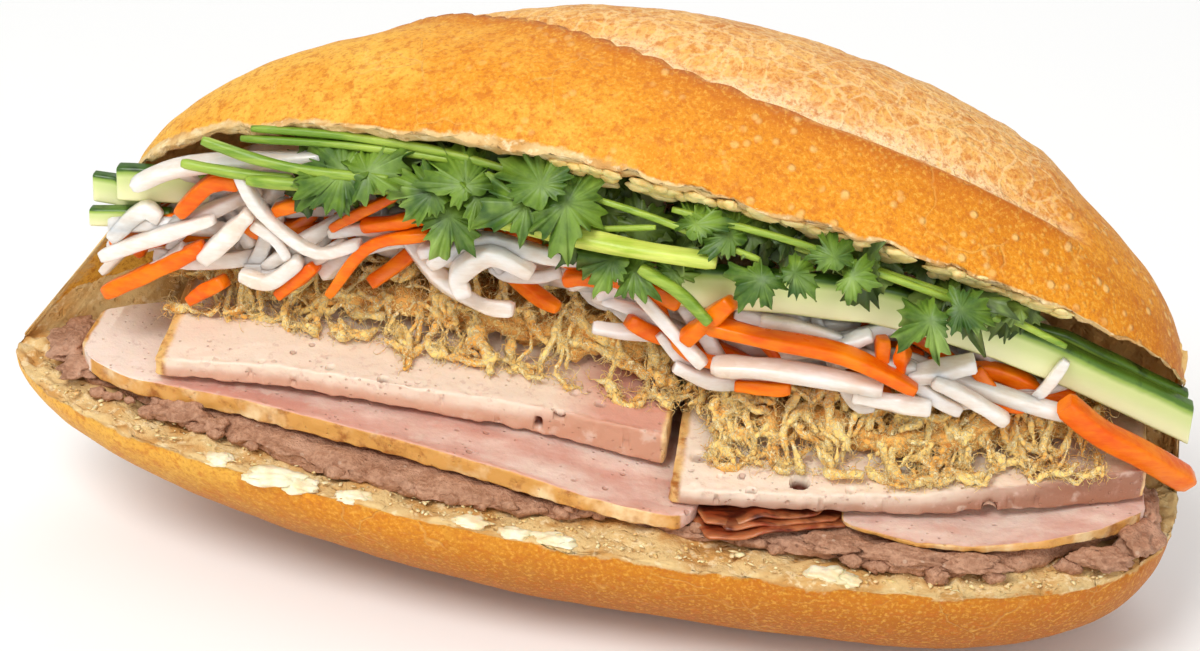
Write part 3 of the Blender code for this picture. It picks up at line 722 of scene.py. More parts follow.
# ---- slices
class Slice:
    """A long slab: the run of its front and back edges, its base, its thickness and its climb."""

    def __init__(self, front, back, base, thick, rise, corner=0.004):
        self.front = front
        self.back = back
        self.base = base
        self.thick = thick
        self.rise = rise
        self.corner = corner
        self.start = front[0][0]
        self.end = front[-1][0]
        self.depth = along(back, (self.start + self.end) / 2) - along(front, (self.start + self.end) / 2)

    def place(self, x, deep, high):
        """A point of the slab, at a share of its depth and of its thickness."""
        front = along(self.front, x)
        y = mix(front, along(self.back, x), deep)
        z = along(self.base, x) + self.rise * (y - front) + high * along(self.thick, x)
        return Vector((x, y, z))

    def top(self, x, y):
        """Height of the upper face."""
        return along(self.base, x) + self.rise * (y - along(self.front, x)) + along(self.thick, x)


FRIED_LEFT = Slice(
    front=[(-0.0950, -0.0110), (-0.0925, -0.0140), (-0.0828, -0.0185), (-0.064, -0.0215), (-0.039, -0.0265),
           (-0.016, -0.0308), (0.004, -0.0345), (0.0235, -0.0355)],
    back=[(-0.095, 0.0050), (-0.080, 0.0125), (-0.060, 0.0185), (0.0235, 0.0190)],
    base=[(-0.095, 0.0350), (-0.085, 0.0336), (-0.062, 0.0332), (-0.031, 0.0317), (-0.010, 0.0300),
          (0.012, 0.0276), (0.0235, 0.0272)],
    thick=[(-0.095, 0.0034), (-0.06, 0.0042), (-0.01, 0.0042), (0.012, 0.0035), (0.0235, 0.0030)],
    rise=0.05, corner=0.006)
PORK_LEFT = Slice(
    front=[(-0.0785, -0.0185), (-0.055, -0.0188), (-0.031, -0.0195), (-0.009, -0.0195), (0.0164, -0.0215)],
    back=[(-0.0785, 0.0110), (-0.060, 0.0170), (-0.031, 0.0205), (0.0164, 0.0180)],
    base=[(-0.0785, 0.0382), (-0.055, 0.0386), (-0.031, 0.0371), (-0.009, 0.0352), (0.0164, 0.0322)],
    thick=[(-0.0785, 0.0036), (-0.055, 0.0045), (-0.031, 0.0050), (0.0164, 0.0066)],
    rise=0.20, corner=0.0012)
PORK_RIGHT = Slice(
    front=[(0.0180, -0.0320), (0.040, -0.0306), (0.061, -0.0278), (0.083, -0.0235), (0.1020, -0.0165)],
    back=[(0.0180, 0.0180), (0.061, 0.0145), (0.083, 0.0080), (0.1020, 0.0000)],
    base=[(0.0180, 0.0309), (0.040, 0.0314), (0.061, 0.0315), (0.083, 0.0327), (0.1020, 0.0333)],
    thick=[(0.0180, 0.0032), (0.040, 0.0034), (0.061, 0.0043), (0.083, 0.0055), (0.1020, 0.0062)],
    rise=0.20, corner=0.0012)
FRIED_RIGHT = Slice(
    front=[(0.0485, -0.0310), (0.062, -0.0350), (0.072, -0.0345), (0.084, -0.0315), (0.094, -0.0265),
           (0.1025, -0.0190)],
    back=[(0.0485, 0.0060), (0.084, 0.0040), (0.1025, -0.0040)],
    base=[(0.0485, 0.0294), (0.075, 0.0292), (0.1025, 0.0295)],
    thick=[(0.0485, 0.0009), (0.072, 0.0012), (0.090, 0.0027), (0.1025, 0.0032)],
    rise=0.03, corner=0.003)
SLICE_EDGE = 0.0006
SLICE_GRAIN = 0.0009

# Holes of the boiled sausage: x and how far back from the front face, in mm; the share of the thickness;
# then radius and depth, in mm. A hole that lies 0 back is on the front face, and any other on the top.
HOLES_LEFT = [(-60.5, 0, 0.55, 0.6, 0.5), (-52.5, 0, 0.35, 0.7, 0.7), (-46.0, 2.2, 1, 0.9, 0.7),
              (-36.0, 1.3, 1, 1.1, 0.9), (-14.7, 0, 0.2, 0.6, 0.5), (-7.2, 0, 0.4, 1.0, 1.4),
              (-3.4, 0, 0.9, 1.2, 1.5), (3.4, 4.8, 1, 1.0, 0.8), (-1.5, 6.0, 1, 0.9, 0.6),
              (-58.5, 1.4, 1, 0.7, 0.5), (-25.0, 0, 0.6, 0.6, 0.5), (9.0, 0, 0.5, 0.7, 0.6)]
HOLES_RIGHT = [(40.8, 3.1, 1, 1.9, 2.8), (49.8, 1.5, 1, 1.0, 0.6), (32.5, 0.6, 1, 1.1, 0.9),
               (26.5, 0, 0.46, 0.6, 0.6), (30.4, 3.8, 1, 0.7, 0.7), (26.6, 3.6, 1, 0.6, 0.5),
               (44.8, 0, 0.5, 0.6, 0.5), (74.4, 0, 0.12, 1.5, 1.5), (77.9, 0, 0.4, 0.7, 0.6),
               (82.5, 0, 0.4, 0.5, 0.5), (22.4, 7.7, 1, 1.7, 0.8), (56.0, 0, 0.6, 0.5, 0.4)]


def cut_rows(bm, places, axis):
    """Divide a straight piece at the given places along one axis."""
    across = Vector((0.0, 0.0, 0.0))
    across[axis] = 1.0
    for place in places:
        geom = bm.verts[:] + bm.edges[:] + bm.faces[:]
        bmesh.ops.bisect_plane(bm, geom=geom, dist=0.00001, plane_co=across * place, plane_no=across)


def make_slice(name, form, finish, replaced, holes=(), rind=None, blush=None):
    """A slab cut fine enough for its own relief and holes, bent to its run and marked by two rules."""
    length = form.end - form.start
    thick = form.thick[len(form.thick) // 2][1]
    bm = block((0.5, 0.5, 0.5), (length, form.depth, thick))
    round_off(bm, [edge for edge in bm.edges if edge_span(edge, 2) > thick / 2], form.corner, 5)
    rims = [edge for edge in bm.edges
            if edge_span(edge, 2) < thick / 4 and edge.is_manifold and edge.calc_face_angle(0.0) > 1.0]
    round_off(bm, rims, min(SLICE_EDGE, thick * 0.3), 3)
    levels = max(2, round(thick / SLICE_GRAIN))
    cut_rows(bm, [thick * level / levels for level in range(1, levels)], 2)
    cut_rows(bm, [SLICE_GRAIN * step for step in range(1, 10)] + [0.0085, 0.011, 0.014, 0.018], 1)
    cuts = round(length / SLICE_GRAIN)
    cut_rows(bm, [length * step / cuts for step in range(1, cuts)], 0)
    pits = []
    for x, deep, high, radius, depth in holes:
        x, deep, radius, depth = metres(x, deep, radius, depth)
        pits.append((form.place(x, deep / form.depth, high), radius, depth))
        steps = [radius * part for part in (-1.0, -0.9, -0.6, -0.3, 0.0, 0.3, 0.6, 0.9, 1.0)]
        cut_rows(bm, [x - form.start + step for step in steps], 0)
        if deep > 0.0:
            cut_rows(bm, [deep + step for step in steps if deep + step > SLICE_EDGE], 1)
    marks = {key: bm.verts.layers.float.new(key) for key in ("rind", "blush", "front", "hole")}
    bm.normal_update()
    for vert in bm.verts:
        run, deep, high = vert.co.x / length, vert.co.y, vert.co.z / thick
        normal = vert.normal.copy()
        flat = form.place(form.start + vert.co.x, vert.co.y / form.depth, high)
        ragged = smooth_step(0.0030, 0.0, deep)
        grain = (0.00012 + 0.0003 * ragged) * rough(flat, 520.0, 4.0)
        place = flat + normal * (0.00034 * rough(flat, 110.0, 2.0) + grain - 0.00022)
        # Each pit sinks the surface; its mark, darker for deeper pits, carries painted shade.
        hole = 0.0
        for centre, radius, depth in pits:
            span = (flat - centre).length / radius
            if span < 1.0:
                inward = 1.0 - span ** 6
                place -= normal * depth * inward
                hole = max(hole, inward * clamp(depth / 0.0018, 0.25, 1.0))
        vert[marks["rind"]] = clamp(rind(run, deep, high), 0.0, 1.0) if rind else 0.0
        vert[marks["blush"]] = clamp(blush(run, deep, high), 0.0, 1.0) if blush else 0.0
        vert[marks["front"]] = smooth_step(0.0012, 0.0, deep)
        vert[marks["hole"]] = hole
        vert.co = place
    face_outwards(bm)
    return add_piece(name, bm, [finish], replaced, 60.0)


# The front edge of the red pork slices, as (x, y).
RED_FRONT = [(0.0225, -0.0375), (0.030, -0.0366), (0.038, -0.0342), (0.046, -0.0306), (0.054, -0.0272)]


def make_red_pork(finish):
    """Thin ruffled slices of glazed pork, one over another, with their browned edges in front."""
    total = bmesh.new()
    for layer in range(3):
        bm = bmesh.new()
        bmesh.ops.create_grid(bm, x_segments=60, y_segments=26, size=0.5)
        edge = bm.verts.layers.float.new("edge")
        start = RED_FRONT[0][0] + 0.0035 * (layer % 2)
        end = RED_FRONT[-1][0] - 0.0030 * layer
        for vert in bm.verts:
            u, v = vert.co.x + 0.5, vert.co.y + 0.5
            x = mix(start, end, u)
            back = 0.0010 * layer + 0.0011 * rough((u * 2.2, layer * 1.7, 0.0), 1.0, 3.0)
            round_end = 0.006 * (smooth_step(0.12, 0.0, u) + smooth_step(0.85, 1.0, u))
            y = along(RED_FRONT, x) + back + round_end + 0.020 * v
            wave = (1.0 - v) ** 2 * rough((u * 5.0, layer * 3.0, v), 1.0, 8.0)
            z = pate_top(x) + 0.0008 + 0.00065 * layer + 0.0011 * wave + 0.0012 * v
            vert[edge] = smooth_step(0.14, 0.0, v)
            vert.co = (x, y, z)
        bmesh.ops.solidify(bm, geom=bm.faces[:], thickness=0.00040)
        face_outwards(bm)
        gather(total, bm)
    return add_piece("red_pork_piece", total, [finish], ["red_pork_slices"])


def red_pork_finish():
    """Dark glazed pork with a lighter browned edge."""
    f = Finish("glazed_red_pork")
    streak = f.noise(1.0, 4.0, 0.6, f.stretched((180.0, 700.0, 700.0)))
    meat = f.blend(rgb(74, 22, 10), rgb(150, 62, 28), f.between(0.35, 0.65, streak))
    rim = f.attribute("edge") * f.between(0.36, 0.62, f.noise(200.0, 3.0))
    colour = f.blend(meat, rgb(190, 116, 70), rim)
    return f.finish(Base_Color=colour, Roughness=0.22 + 0.2 * streak, Normal=f.bump(streak, 0.5, 0.0004),
                    Subsurface_Weight=0.25, Subsurface_Scale=0.002)


def meat_finish(name, pale, pink, side, brown, gloss):
    """Fine boiled sausage: even paste with small bubbles, a pink blush, a browned edge, and a front face
    darkened with painted shade over its own pinker cut.
    """
    f = Finish(name)
    rind = f.attribute("rind")
    front = f.attribute("front")
    cloud = f.noise(70.0, 5.0, 0.65)
    marble = f.noise(1.0, 4.0, 0.65, f.stretched((60.0, 190.0, 190.0), (0.0, 0.0, 0.25)))
    grain = f.noise(1100.0, 3.0, 0.6)
    blushed = f.attribute("blush") + 1.3 * (0.5 * cloud + 0.5 * marble - 0.5) + 0.10 * front
    paste = f.blend(pale, pink, f.between(0.15, 0.85, blushed))
    # Painted shade on the front face, over the meat's own pinker cut: there the paste takes the darker side
    # colour, as far as the blush allows.
    paste = f.blend(paste, side, 0.85 * front * f.between(0.0, 0.5, f.attribute("blush")))
    fleck = f.between(0.56, 0.68, f.noise(520.0, 4.0, 0.65))
    paste = f.blend(paste, rgb(196, 150, 132), 0.38 * fleck)
    paste = f.blend(paste, rgb(240, 222, 204), 0.35 * f.between(0.56, 0.72, f.noise(260.0, 4.0)))
    bubble = f.between(0.17, 0.10, f.cells(230.0)) * f.between(0.50, 0.60, f.noise(85.0, 2.0))
    small = f.between(0.19, 0.09, f.cells(640.0)) * f.between(0.46, 0.54, f.noise(120.0, 2.0))
    paste = f.blend(paste, rgb(184, 130, 106), 0.55 * bubble)
    paste = f.blend(paste, rgb(190, 140, 114), 0.5 * small)
    # Painted shade inside the holes, darker the deeper they are.
    paste = f.blend(paste, rgb(92, 34, 8), f.between(0.15, 0.75, f.attribute("hole")))
    crisp = f.blend(brown, rgb(164, 98, 38), f.between(0.48, 0.68, f.noise(230.0, 5.0, 0.65)))
    crisp = f.blend(crisp, rgb(242, 210, 160), f.between(0.48, 0.70, f.noise(130.0, 4.0)))
    colour = f.blend(paste, crisp, f.between(0.3, 0.75, rind + 0.7 * (f.noise(210.0, 5.0, 0.65) - 0.5)))
    relief = 0.25 * grain + 0.5 * f.noise(240.0, 4.0, 0.6) - 0.8 * bubble - 0.6 * small
    return f.finish(Base_Color=colour, Roughness=gloss + 0.2 * grain, Normal=f.bump(relief, 0.8, 0.0005),
                    Subsurface_Weight=0.12, Subsurface_Scale=0.003)


# ---- heaps
def make_heap(reach, front, back, under, over, lump, seed, detail=(18, 16), square=0.7):
    """A lumpy heap between an under surface and an over surface, rounded off at its rim."""
    bm = bmesh.new()
    bmesh.ops.create_uvsphere(bm, u_segments=detail[0], v_segments=detail[1], radius=1.0)
    bmesh.ops.rotate(bm, verts=bm.verts, matrix=Matrix.Rotation(math.pi / 2, 3, "Y"))
    left, right = reach
    for vert in bm.verts:
        s = clamp(vert.co.x, -1.0, 1.0)
        ring = math.hypot(vert.co.y, vert.co.z)
        c, t = (vert.co.y / ring, vert.co.z / ring) if ring > 1e-6 else (0.0, 0.0)
        c = math.copysign(abs(c) ** square, c)
        t = math.copysign(abs(t) ** square, t)
        s = mix(s, math.asin(s) / (math.pi / 2), 0.6)
        x = mix(left, right, (s + 1.0) / 2)
        close = (1.0 - abs(s) ** 5) ** 0.5 if abs(s) < 1.0 else 0.0
        y = mix(front(x), back(x), 0.5 + 0.5 * c * close)
        swing = min(lump, 0.12 * (back(x) - front(x)))
        low, high = under(x, y), over(x, y)
        bumpy = lump * noise.noise(Vector((x, y, t * 0.01)) * 150.0 + Vector((seed, 0.0, 0.0)))
        level = clamp(mix(low, high, 0.5 + 0.5 * t * close) + bumpy * close, low, high)
        y_bumpy = swing * noise.noise(Vector((x, y, t * 0.01)) * 170.0 + Vector((0.0, seed, 0.0)))
        vert.co = (x, y + y_bumpy * close, level)
    face_outwards(bm)
    return bm


PATE_THICK = [(-0.104, 0.0024), (-0.098, 0.0034), (-0.090, 0.0024), (-0.085, 0.0017), (-0.075, 0.0020),
              (-0.060, 0.0031), (-0.015, 0.0030), (0.005, 0.0012), (0.024, 0.0012), (0.035, 0.0030),
              (0.100, 0.0034)]


def pate_top(x):
    """Height of the spread's upper face."""
    return cut_height(x) + along(PATE_THICK, x)


def pate_half(x):
    """Half width of the spread."""
    inset = 0.0065 + 0.004 * math.exp(-((x - 0.012) / 0.020) ** 2) - 0.0035 * smooth_step(-0.086, -0.098, x)
    inset -= 0.0022 * smooth_step(0.040, 0.072, x)
    return LOWER_HALF_WIDTH * outline(share(x), LOWER_OUTLINE) - inset


# Lumps of the spread: (x, y, height above the cut crumb) and half sizes, in mm.
PATE_LUMPS = [(-98.6, -3.5, 2.8, 4.4, 5.6, 1.8), (-99.0, 2.5, 2.4, 3.4, 4.0, 1.6),
              (-95.0, -11.0, 2.2, 3.6, 3.6, 1.6), (-72.5, -20.5, 2.4, 4.6, 2.8, 2.0),
              (-67.0, -23.0, 1.8, 3.0, 2.0, 1.6), (-76.5, -18.0, 1.8, 3.0, 2.0, 1.5),
              (103.0, -12.0, 3.4, 2.4, 7.0, 2.6), (101.0, -22.0, 3.2, 3.6, 5.0, 2.4),
              (95.0, -29.5, 2.6, 5.0, 2.6, 1.8), (60.0, -36.0, 3.0, 7.0, 2.2, 1.4),
              (72.0, -36.0, 3.0, 6.0, 2.2, 1.5), (48.0, -34.5, 3.0, 6.0, 2.6, 1.2)]
PATE_CRUMBS = 60


def make_pate(finish):
    """The spread with its lumps at both ends, and a crumbly edge along its open side."""
    rng = random.Random(71)

    def under(x, y):
        return cut_height(x) - SLIT_SHAVE - 0.0004

    def back(x):
        return max(min(pate_half(x), slit_back(x) - 0.003), 0.002)

    def front(x):
        uneven = 0.0014 * rough((x, 0, 0), 90.0, 5.0) + 0.0009 * rough((x, 0, 0), 300.0, 6.0)
        return -max(pate_half(x), 0.004) + uneven

    def over(x, y):
        return pate_top(x)

    bm = make_heap((-0.1015, 0.1045), front, back, under, over, 0.0010, 3.0, (110, 210), 0.5)
    roughen(bm, ((0.0008, 190.0, 1.0), (0.0004, 480.0, 2.0), (0.0003, 950.0, 3.0)))
    for number, lump in enumerate(PATE_LUMPS):
        x, y, high, *half = metres(*lump)
        gather(bm, dab((x, y, cut_height(x) + high), half, 50.0 + number, 4))
    for number in range(PATE_CRUMBS):
        x = rng.uniform(-0.090, 0.100)
        size = rng.uniform(0.0006, 0.0013)
        place = (x, front(x) + rng.uniform(-0.0002, 0.0012), cut_height(x) + rng.uniform(0.0004, 0.0018))
        gather(bm, dab(place, (size * 1.5, size, size), 80.0 + number, 2))
    return add_piece("liver_spread", bm, [finish], ["pate"])


def pate_finish():
    """Coarse liver spread: light grain, flecks of fat and dark pits."""
    f = Finish("coarse_liver_spread")
    grain = f.noise(420.0, 6.0, 0.7)
    fine = f.noise(1300.0, 3.0, 0.6)
    patch = f.noise(90.0, 4.0, 0.6)
    colour = f.blend(rgb(160, 110, 80), rgb(206, 156, 124), f.between(0.35, 0.65, 0.6 * grain + 0.4 * fine))
    colour = f.blend(colour, rgb(212, 166, 138), 0.5 * f.between(0.52, 0.7, patch))
    fat = f.between(0.16, 0.08, f.cells(300.0))
    colour = f.blend(colour, rgb(222, 190, 164), 0.5 * fat)
    turned = f.stretched((1.0, 1.0, 1.0), (0.4, 0.2, 0.9))
    colour = f.blend(colour, rgb(96, 60, 44), 0.6 * f.between(0.13, 0.05, f.cells(240.0, point=turned)))
    relief = grain + 0.5 * fine + 0.7 * f.noise(190.0, 4.0, 0.7)
    return f.finish(Base_Color=colour, Roughness=0.55 + 0.25 * grain, Normal=f.bump(relief, 0.9, 0.0011))


def slices_top(x, y):
    """Height of whatever slice lies highest, or of the spread beside them."""
    levels = [pate_top(x)]
    for form in (FRIED_LEFT, PORK_LEFT, PORK_RIGHT, FRIED_RIGHT):
        if form.start - 0.006 <= x <= form.end + 0.006:
            levels.append(form.top(x, y))
    return max(levels)


def ceiling(x, y):
    """Height of the opened lid's hollow, found in a few rounds."""
    angle = opening(x)
    s = clamp((x - UPPER_MIDDLE) / UPPER_HALF_LENGTH, -1.0, 1.0)
    lift = UPPER_DROOP * s * s
    for _round in range(3):
        closed_y = HINGE_Y - (HINGE_Y - y + lift * math.sin(angle)) / math.cos(angle)
        lift = UPPER_DROOP * s * s + hollow(HALF_LENGTH * s, closed_y)
    return HINGE_Z + (HINGE_Y - closed_y) * math.sin(angle) + lift * math.cos(angle)


# Tops and fronts of the heaps, as (x, z) and (x, y).
FLOSS_TOP = [(-0.088, 0.0480), (-0.070, 0.0555), (-0.025, 0.0560), (0.004, 0.0560), (0.016, 0.0515),
             (0.026, 0.0475), (0.058, 0.0480), (0.080, 0.0515), (0.096, 0.0480)]
FLOSS_LEFT_FRONT = [(-0.080, 0.0000), (-0.055, -0.0045), (-0.025, -0.0065), (0.0225, -0.0120)]
FLOSS_RIGHT_FRONT = [(0.0245, -0.0200), (0.058, -0.0225), (0.0930, -0.0160)]
FLOSS_DEPTH = 0.028
PICKLE_TOP = [(-0.098, 0.0560), (-0.086, 0.0620), (-0.070, 0.0680), (-0.030, 0.0715), (0.006, 0.0710),
              (0.0145, 0.0640), (0.020, 0.0630), (0.043, 0.0620), (0.070, 0.0550), (0.086, 0.0500),
              (0.098, 0.0450)]
PICKLE_CLIMB = 0.010
PICKLE_FRONT = [(-0.098, 0.0080), (-0.080, 0.0035), (-0.072, 0.0018), (-0.060, -0.0045), (-0.030, -0.0090),
                (0.0, -0.0130), (0.030, -0.0185), (0.060, -0.0185), (0.080, -0.0150), (0.098, -0.0040)]


def floss_over(x, y):
    """Height of the top of the floss."""
    return max(min(along(FLOSS_TOP, x), ceiling(x, y) - 0.004), slices_top(x, y) + 0.0012)


def pickle_over(x, y):
    """Height of the top of the pickles."""
    top = along(PICKLE_TOP, x) + PICKLE_CLIMB * smooth_step(0.001, 0.010, y)
    return max(min(top, ceiling(x, y) - 0.002), floss_over(x, y) + 0.0014)


# ---- strands, sticks and slabs
def tubes(runs, sides):
    """Many closed tubes as one bmesh; every run is a list of (point, radius)."""
    ring = bpy.data.curves.new("ring", "CURVE")
    ring.dimensions = "3D"
    loop = ring.splines.new("POLY")
    loop.points.add(sides - 1)
    loop.use_cyclic_u = True
    for number, knot in enumerate(loop.points):
        turn = 2 * math.pi * number / sides
        knot.co = (math.cos(turn), math.sin(turn), 0.0, 1.0)
    section = bpy.data.objects.new("ring", ring)
    curve = bpy.data.curves.new("paths", "CURVE")
    curve.dimensions = "3D"
    curve.bevel_mode = "OBJECT"
    curve.bevel_object = section
    curve.use_fill_caps = True
    for run in runs:
        spline = curve.splines.new("POLY")
        spline.points.add(len(run) - 1)
        for knot, (point, radius) in zip(spline.points, run):
            knot.co = (*point, 1.0)
            knot.radius = radius
    holder = bpy.data.objects.new("paths", curve)
    for made in (section, holder):
        home().objects.link(made)
    graph = bpy.context.evaluated_depsgraph_get()
    mesh = bpy.data.meshes.new_from_object(holder.evaluated_get(graph), depsgraph=graph)
    for made in (holder, section):
        bpy.data.objects.remove(made)
    for spent in (curve, ring):
        bpy.data.curves.remove(spent)
    bm = bmesh.new()
    bm.from_mesh(mesh)
    bpy.data.meshes.remove(mesh)
    bmesh.ops.remove_doubles(bm, verts=bm.verts, dist=0.000002)
    bmesh.ops.recalc_face_normals(bm, faces=bm.faces)
    return bm


class Run:
    """A smooth run through a few points, and the directions across it."""

    def __init__(self, points, outward=(0.0, -1.0, 0.0)):
        self.points = [Vector(point) for point in points]
        self.outward = Vector(outward)

    def at(self, t):
        """The point at a share of the run."""
        spans = len(self.points) - 1
        step = clamp(t, 0.0, 1.0) * spans
        first = min(int(step), spans - 1)
        t = step - first
        p1, p2 = self.points[first], self.points[first + 1]
        p0 = self.points[first - 1] if first else p1 * 2 - p2
        p3 = self.points[first + 2] if first + 2 <= spans else p2 * 2 - p1
        return 0.5 * (2 * p1 + (p2 - p0) * t + (2 * p0 - 5 * p1 + 4 * p2 - p3) * t * t
                      + (3 * p1 - p0 - 3 * p2 + p3) * t * t * t)

    def axes(self, t):
        """The two directions across the run: outwards, and over it."""
        ahead = (self.at(min(1.0, t + 0.02)) - self.at(max(0.0, t - 0.02))).normalized()
        side = self.outward - ahead * self.outward.dot(ahead)
        if side.length < 0.2:
            side = Vector((0.0, 0.0, 1.0)) - ahead * ahead.z
        side.normalize()
        return side, ahead.cross(side)


def bar(cuts, corner=0.18, segments=2):
    """A straight bar along X, one unit long and wide, with rounded corners and ends."""
    bm = block((0.5, 0.0, 0.0))
    round_off(bm, [edge for edge in bm.edges if edge_span(edge, 0) > 0.5], corner, segments)
    cut_rows(bm, [0.012, 0.035] + [step / cuts for step in range(1, cuts)] + [0.965, 0.988], 0)
    for vert in bm.verts:
        end = min(vert.co.x, 1.0 - vert.co.x)
        inward = 1.0 - 0.18 * (1.0 - smooth_step(0.0, 0.035, end))
        vert.co.y *= inward
        vert.co.z *= inward
    return bm


def bend(template, run, width, thick, seed, roll=0.0, uneven=0.10, taper=0.0):
    """Carry a copy of a straight bar along a run, a little uneven in width."""
    bm = template.copy()
    for vert in bm.verts:
        t, across, up = vert.co
        side, over = run.axes(t)
        turn = roll + 0.5 * noise.noise(Vector((seed, t * 1.3, 0.0)))
        size = 1.0 + uneven * noise.noise(Vector((seed * 3.1, t * 4.0, 1.0))) - taper * abs(2 * t - 1) ** 2
        a, b = across * width * size, up * thick * size
        vert.co = run.at(t) + side * (a * math.cos(turn) - b * math.sin(turn)) + over * (
            a * math.sin(turn) + b * math.cos(turn))
    return bm


# ---- pickled roots
# The open face of the heap, as (x, y).
FACE = [(-0.105, -0.0045), (-0.080, -0.0050), (-0.060, -0.0065), (-0.030, -0.0105), (0.0, -0.0145),
        (0.030, -0.0200), (0.060, -0.0205), (0.080, -0.0190), (0.100, -0.0150), (0.115, -0.0120)]

# Sticks that lie on the open face of the heap: how far they stand out of it, then (x, z) along them, in mm.
DAIKON = [
    (2.0, [(-84.8, 70.6), (-73.9, 75.9), (-49.3, 81.1)]),
    (3.0, [(-90.8, 56.0), (-81.6, 60.7), (-69.3, 66.3)]),
    (1.0, [(-89.4, 58.9), (-83.3, 65.3), (-80.0, 63.9)]),
    (2.0, [(-84.4, 52.2), (-79.1, 55.7), (-75.0, 59.2)]),
    (3.5, [(-71.6, 58.1), (-67.1, 63.0), (-62.4, 68.7)]),
    (4.0, [(-64.6, 77.3), (-61.3, 71.3), (-56.4, 66.5), (-49.2, 63.2), (-41.5, 66.5)]),
    (2.5, [(-62.1, 66.3), (-57.9, 63.6), (-55.5, 60.2)]),
    (3.0, [(-64.5, 55.9), (-58.8, 55.3), (-52.9, 60.8)]),
    (2.0, [(-28.8, 63.8), (-19.4, 70.0), (-7.6, 69.1), (0.7, 69.9)]),
    (4.0, [(-22.0, 59.4), (-23.1, 63.8), (-17.2, 68.7), (-9.6, 66.1)]),
    (3.0, [(5.0, 69.3), (13.8, 61.1), (22.0, 53.7)]),
    (3.0, [(23.4, 54.0), (35.4, 55.1), (53.5, 53.8)]),
    (2.0, [(48.5, 51.6), (55.0, 50.7), (62.2, 50.5)]),
    (1.0, [(57.8, 55.7), (63.0, 57.4), (69.0, 59.4)]),
    (3.0, [(62.1, 56.6), (68.7, 53.3), (75.6, 49.3)]),
    (1.0, [(43.7, 59.4), (47.0, 61.2), (50.6, 63.1)]),
    (1.0, [(-47.8, 66.2), (-40.3, 68.3), (-31.0, 68.3)]),
    (1.0, [(-30.9, 65.5), (-25.4, 67.1), (-17.9, 65.4)]),
    (0.0, [(31.1, 62.9), (38.1, 62.2), (46.1, 60.8)]),
]
CARROT = [
    (2.0, [(-76.2, 66.1), (-69.8, 73.1), (-64.6, 73.9)]),
    (3.0, [(-90.5, 48.6), (-81.8, 53.8), (-71.3, 60.6)]),
    (2.0, [(-57.5, 52.4), (-54.3, 55.3), (-50.2, 59.8)]),
    (4.0, [(-47.3, 55.2), (-39.7, 66.2), (-28.6, 70.7)]),
    (2.0, [(-47.2, 67.6), (-41.1, 72.2), (-35.0, 76.1)]),
    (2.0, [(-58.0, 69.3), (-54.2, 71.1), (-50.3, 72.6)]),
    (3.0, [(-41.4, 69.6), (-35.3, 71.2), (-28.8, 73.7)]),
    (3.0, [(-4.1, 65.6), (0.6, 66.7), (5.1, 67.8)]),
    (1.0, [(8.5, 66.5), (13.1, 65.1), (17.0, 63.7)]),
    (4.0, [(18.2, 58.6), (22.1, 63.1), (26.1, 67.6)]),
    (4.0, [(22.0, 62.3), (31.5, 61.6), (46.2, 60.1), (59.2, 54.7)]),
    (1.0, [(52.6, 62.7), (52.7, 60.2), (52.8, 57.2)]),
    (1.0, [(56.1, 62.0), (56.3, 59.0), (56.2, 55.9)]),
    (1.0, [(-74.8, 48.0), (-71.8, 50.5), (-67.9, 53.2)]),
    (1.0, [(27.7, 49.8), (33.9, 50.2), (37.4, 51.1)]),
]
CARROT_RIGHT = [(0.0850, -0.0215, 0.0535), (0.0920, -0.0200, 0.0478), (0.1002, -0.0178, 0.0431),
                (0.1095, -0.0130, 0.0360)]
CARROT_RIGHT_WIDTH = 0.0042
STICK_UNEVEN = 0.22


def face_run(out, knots):
    """A stick's run on the open face of the heap."""
    return Run([(x, along(FACE, x) - out / 1000, z) for x, z in (metres(*knot) for knot in knots)])


def make_sticks(name, placed, count, seed, width, finish):
    """The sticks that show plainly, then more of them laid at random through the heap."""
    rng = random.Random(seed)
    template = bar(12)
    total = bmesh.new()
    for number, (out, knots) in enumerate(placed):
        run = face_run(out, knots)
        size = width * rng.uniform(0.84, 1.14)
        gather(total, bend(template, run, size, size * rng.uniform(0.60, 0.85), seed + number * 1.7,
                           rng.uniform(-0.3, 0.3), STICK_UNEVEN, rng.uniform(0.0, 0.35)))
    for number in range(count):
        x = rng.uniform(-0.086, 0.079)
        inward = rng.random() ** 1.5 * 0.012
        y = along(FACE, x) + 0.001 + inward
        low, high = floss_over(x, y), pickle_over(x, y)
        z = mix(low, high, rng.uniform(0.05, 0.95))
        turn = rng.gauss(0.0, 0.42) + (0.35 if x < -0.03 else -0.25)
        length = rng.uniform(0.012, 0.026)
        ahead = Vector((math.cos(turn), rng.uniform(-0.25, 0.25), math.sin(turn))).normalized() * length / 2
        sag = Vector((0.0, rng.uniform(-0.002, 0.002), rng.uniform(-0.003, 0.003)))
        middle = Vector((x, y, z))
        knots = [middle - ahead, middle - ahead * 0.4 + sag, middle + ahead * 0.4 + sag, middle + ahead]
        knots = [Vector((knot.x, max(knot.y, along(FACE, knot.x) - 0.001),
                         clamp(knot.z, floss_over(knot.x, knot.y), ceiling(knot.x, knot.y) - 0.003)))
                 for knot in knots]
        size = width * rng.uniform(0.62, 0.98)
        gather(total, bend(template, Run(knots), size, size * rng.uniform(0.8, 1.0), seed * 2 + number * 1.3,
                           rng.uniform(-0.6, 0.6), STICK_UNEVEN, rng.uniform(0.0, 0.3)))
    template.free()
    return add_piece(name, total, [finish])


